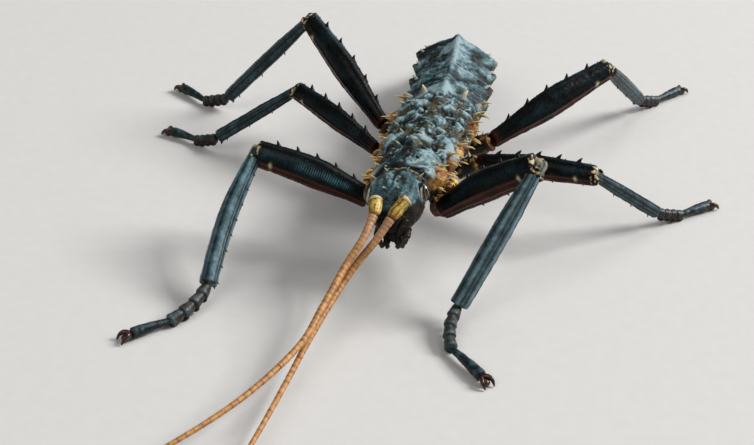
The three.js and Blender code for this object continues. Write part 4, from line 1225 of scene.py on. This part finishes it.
def claw_shells(bend, tip):
    """Two hooks that curve out and down either side of a round pad."""
    ahead = unit((tip - bend) * (1, 1, 0))
    across = np.array([-ahead[1], ahead[0], 0.0])

    def at(forward, aside, z):
        return (tip + ahead * (0.3 + forward) + across * aside) * (1, 1, 0) + np.array([0, 0, z])

    shells = [closed_skin(grounded(ball(at(0.5, 0, 0.5), (0.66, 0.66, 0.55), 20, 32)), 0.3, 0.2, 0.1)]
    s = np.linspace(0, 1, 36)
    taper = (0.44 * (1 - s) ** 0.55 + 0.05) * rounded_ends(s, 2.2, 0.15, 0.1)
    s = s[:, None]
    for side in (1, -1):
        a, b, c = at(-0.15, side * 0.15, 0.95), at(0.75, side * 1.0, 1.6), at(1.55, side * 0.75, 0.12)
        centres = (1 - s) ** 2 * a + 2 * s * (1 - s) * b + s**2 * c
        shells.append(closed_skin(grounded(tube(centres, taper, taper * 0.85, 20)), 0.45 - 0.3 * s, 0.2))
    return shells


def make_leg(name, leg):
    """A leg's five pieces. Its kind is the first word of its name."""
    kind = name.split("_")[0]
    girth = LEG_GIRTH[kind]
    base, knee, ankle, bend, tip = (np.array(leg[k], float) for k in ("base", "knee", "ankle", "bend", "tip"))
    outward = np.sign(base[0])
    hip = hip_shells(base, knee, girth, HIP_LUMPS if kind == "front" else [])
    thigh = thigh_shells(base, knee, girth, leg.get("face_sheen", USUAL_FACE_SHEEN))
    shank = shank_shells(knee, ankle, girth, leg.get("swing", USUAL_SWING), outward)
    foot = foot_shells(ankle, bend, tip, girth, outward)
    piece("hip_" + name, hip, HIP, name + "_hip")
    piece("thigh_" + name, thigh, LEG, name + "_femur")
    piece("shank_" + name, shank, SHANK, name + "_tibia")
    piece("foot_" + name, foot, SHANK, name + "_foot")
    piece("claws_" + name, claw_shells(bend, tip), CLAW, name + "_claws")


# ---------- the room ----------

CAMERA = {"place": (37.4, -202.5, 126.6), "azimuth": 12.4, "elevation": 32.0, "roll": 1.9, "lens": 71.6}
# Soft square lights: place, width, watts and tint.
LIGHTS = {
    "window": ((1440, 608, 1152), 768, 51.2, "#ffffff"),
    "sky": ((416, 1024, 1376), 960, 8.7, "#f6f9ff"),
    "fill": ((-416, -992, 1120), 960, 8.2, "#fffdfa"),
}
LIT_POINT = (0, 5, 10)  # on the thorax
SURROUND, SURROUND_STRENGTH = "#e6e8ea", 0.22
FLOOR_HALF = 1.5  # metres


def in_place(point):
    """A layout point in millimetres as a place in metres."""
    return Vector((np.asarray(point, float) + LAYOUT_SHIFT) * MM)


def make_camera():
    """Turned about its axis by its roll, then down by its elevation, then round by its azimuth."""
    azimuth, elevation, roll = (math.radians(CAMERA[k]) for k in ("azimuth", "elevation", "roll"))
    turns = ((azimuth, "Z"), (math.pi / 2 - elevation, "X"), (roll, "Z"))
    about, down, rolled = (Matrix.Rotation(turn, 4, axis) for turn, axis in turns)
    data = bpy.data.cameras.new("camera")
    data.sensor_width = 36.0
    data.lens = CAMERA["lens"]
    data.clip_start = 0.01
    camera = linked("camera", data)
    camera.matrix_world = Matrix.Translation(in_place(CAMERA["place"])) @ about @ down @ rolled
    bpy.context.scene.camera = camera


def make_floor():
    """A square of matt white paper, faintly clouded. Its fibres are too fine to show: the clouds are
    drawn coarser."""
    mesh = bpy.data.meshes.new("floor")
    corners = [(x * FLOOR_HALF, y * FLOOR_HALF, 0) for x, y in ((-1, -1), (1, -1), (1, 1), (-1, 1))]
    mesh.from_pydata(corners, [], [(0, 1, 2, 3)])
    paper = bpy.data.materials.new("matt studio paper")
    paper.use_nodes = True
    tree = paper.node_tree
    shader = tree.nodes["Principled BSDF"]
    place = add(tree, "TexCoord", {}, take="Object")
    fibre = add(tree, "TexNoise", {"Vector": place, "Scale": 1 / (2.0 * MM), "Detail": 6.0})
    tone = add(tree, "ValToRGB", {"Fac": fibre}, stops=[(0.3, "#bfbdba"), (0.7, "#c2c0bd")])
    tree.links.new(tone, shader.inputs["Base Color"])
    shader.inputs["Roughness"].default_value = 0.9
    mesh.materials.append(paper)
    linked("floor", mesh)


def make_lights():
    """The soft lights, aimed at the thorax, in a pale surround."""
    for name, (place, width, watts, tint) in LIGHTS.items():
        data = bpy.data.lights.new(name, "AREA")
        data.size = width * MM
        data.energy = watts
        data.color = colour(tint)[:3]
        light = linked(name, data)
        light.location = in_place(place)
        light.rotation_euler = (in_place(LIT_POINT) - light.location).to_track_quat("-Z", "Y").to_euler()
    world = bpy.data.worlds.new("studio")
    world.use_nodes = True
    surround = world.node_tree.nodes["Background"]
    surround.inputs["Color"].default_value = colour(SURROUND)
    surround.inputs["Strength"].default_value = SURROUND_STRENGTH
    bpy.context.scene.world = world


# ---------- assembly ----------

make_body()
make_head()
make_feelers()
for leg_name, leg_points in LEGS.items():
    make_leg(leg_name, leg_points)
make_floor()
make_lights()
make_camera()
# Colours are shown as they are, so that black chitin stays black beside the pale floor.
bpy.context.scene.view_settings.view_transform = "Standard"
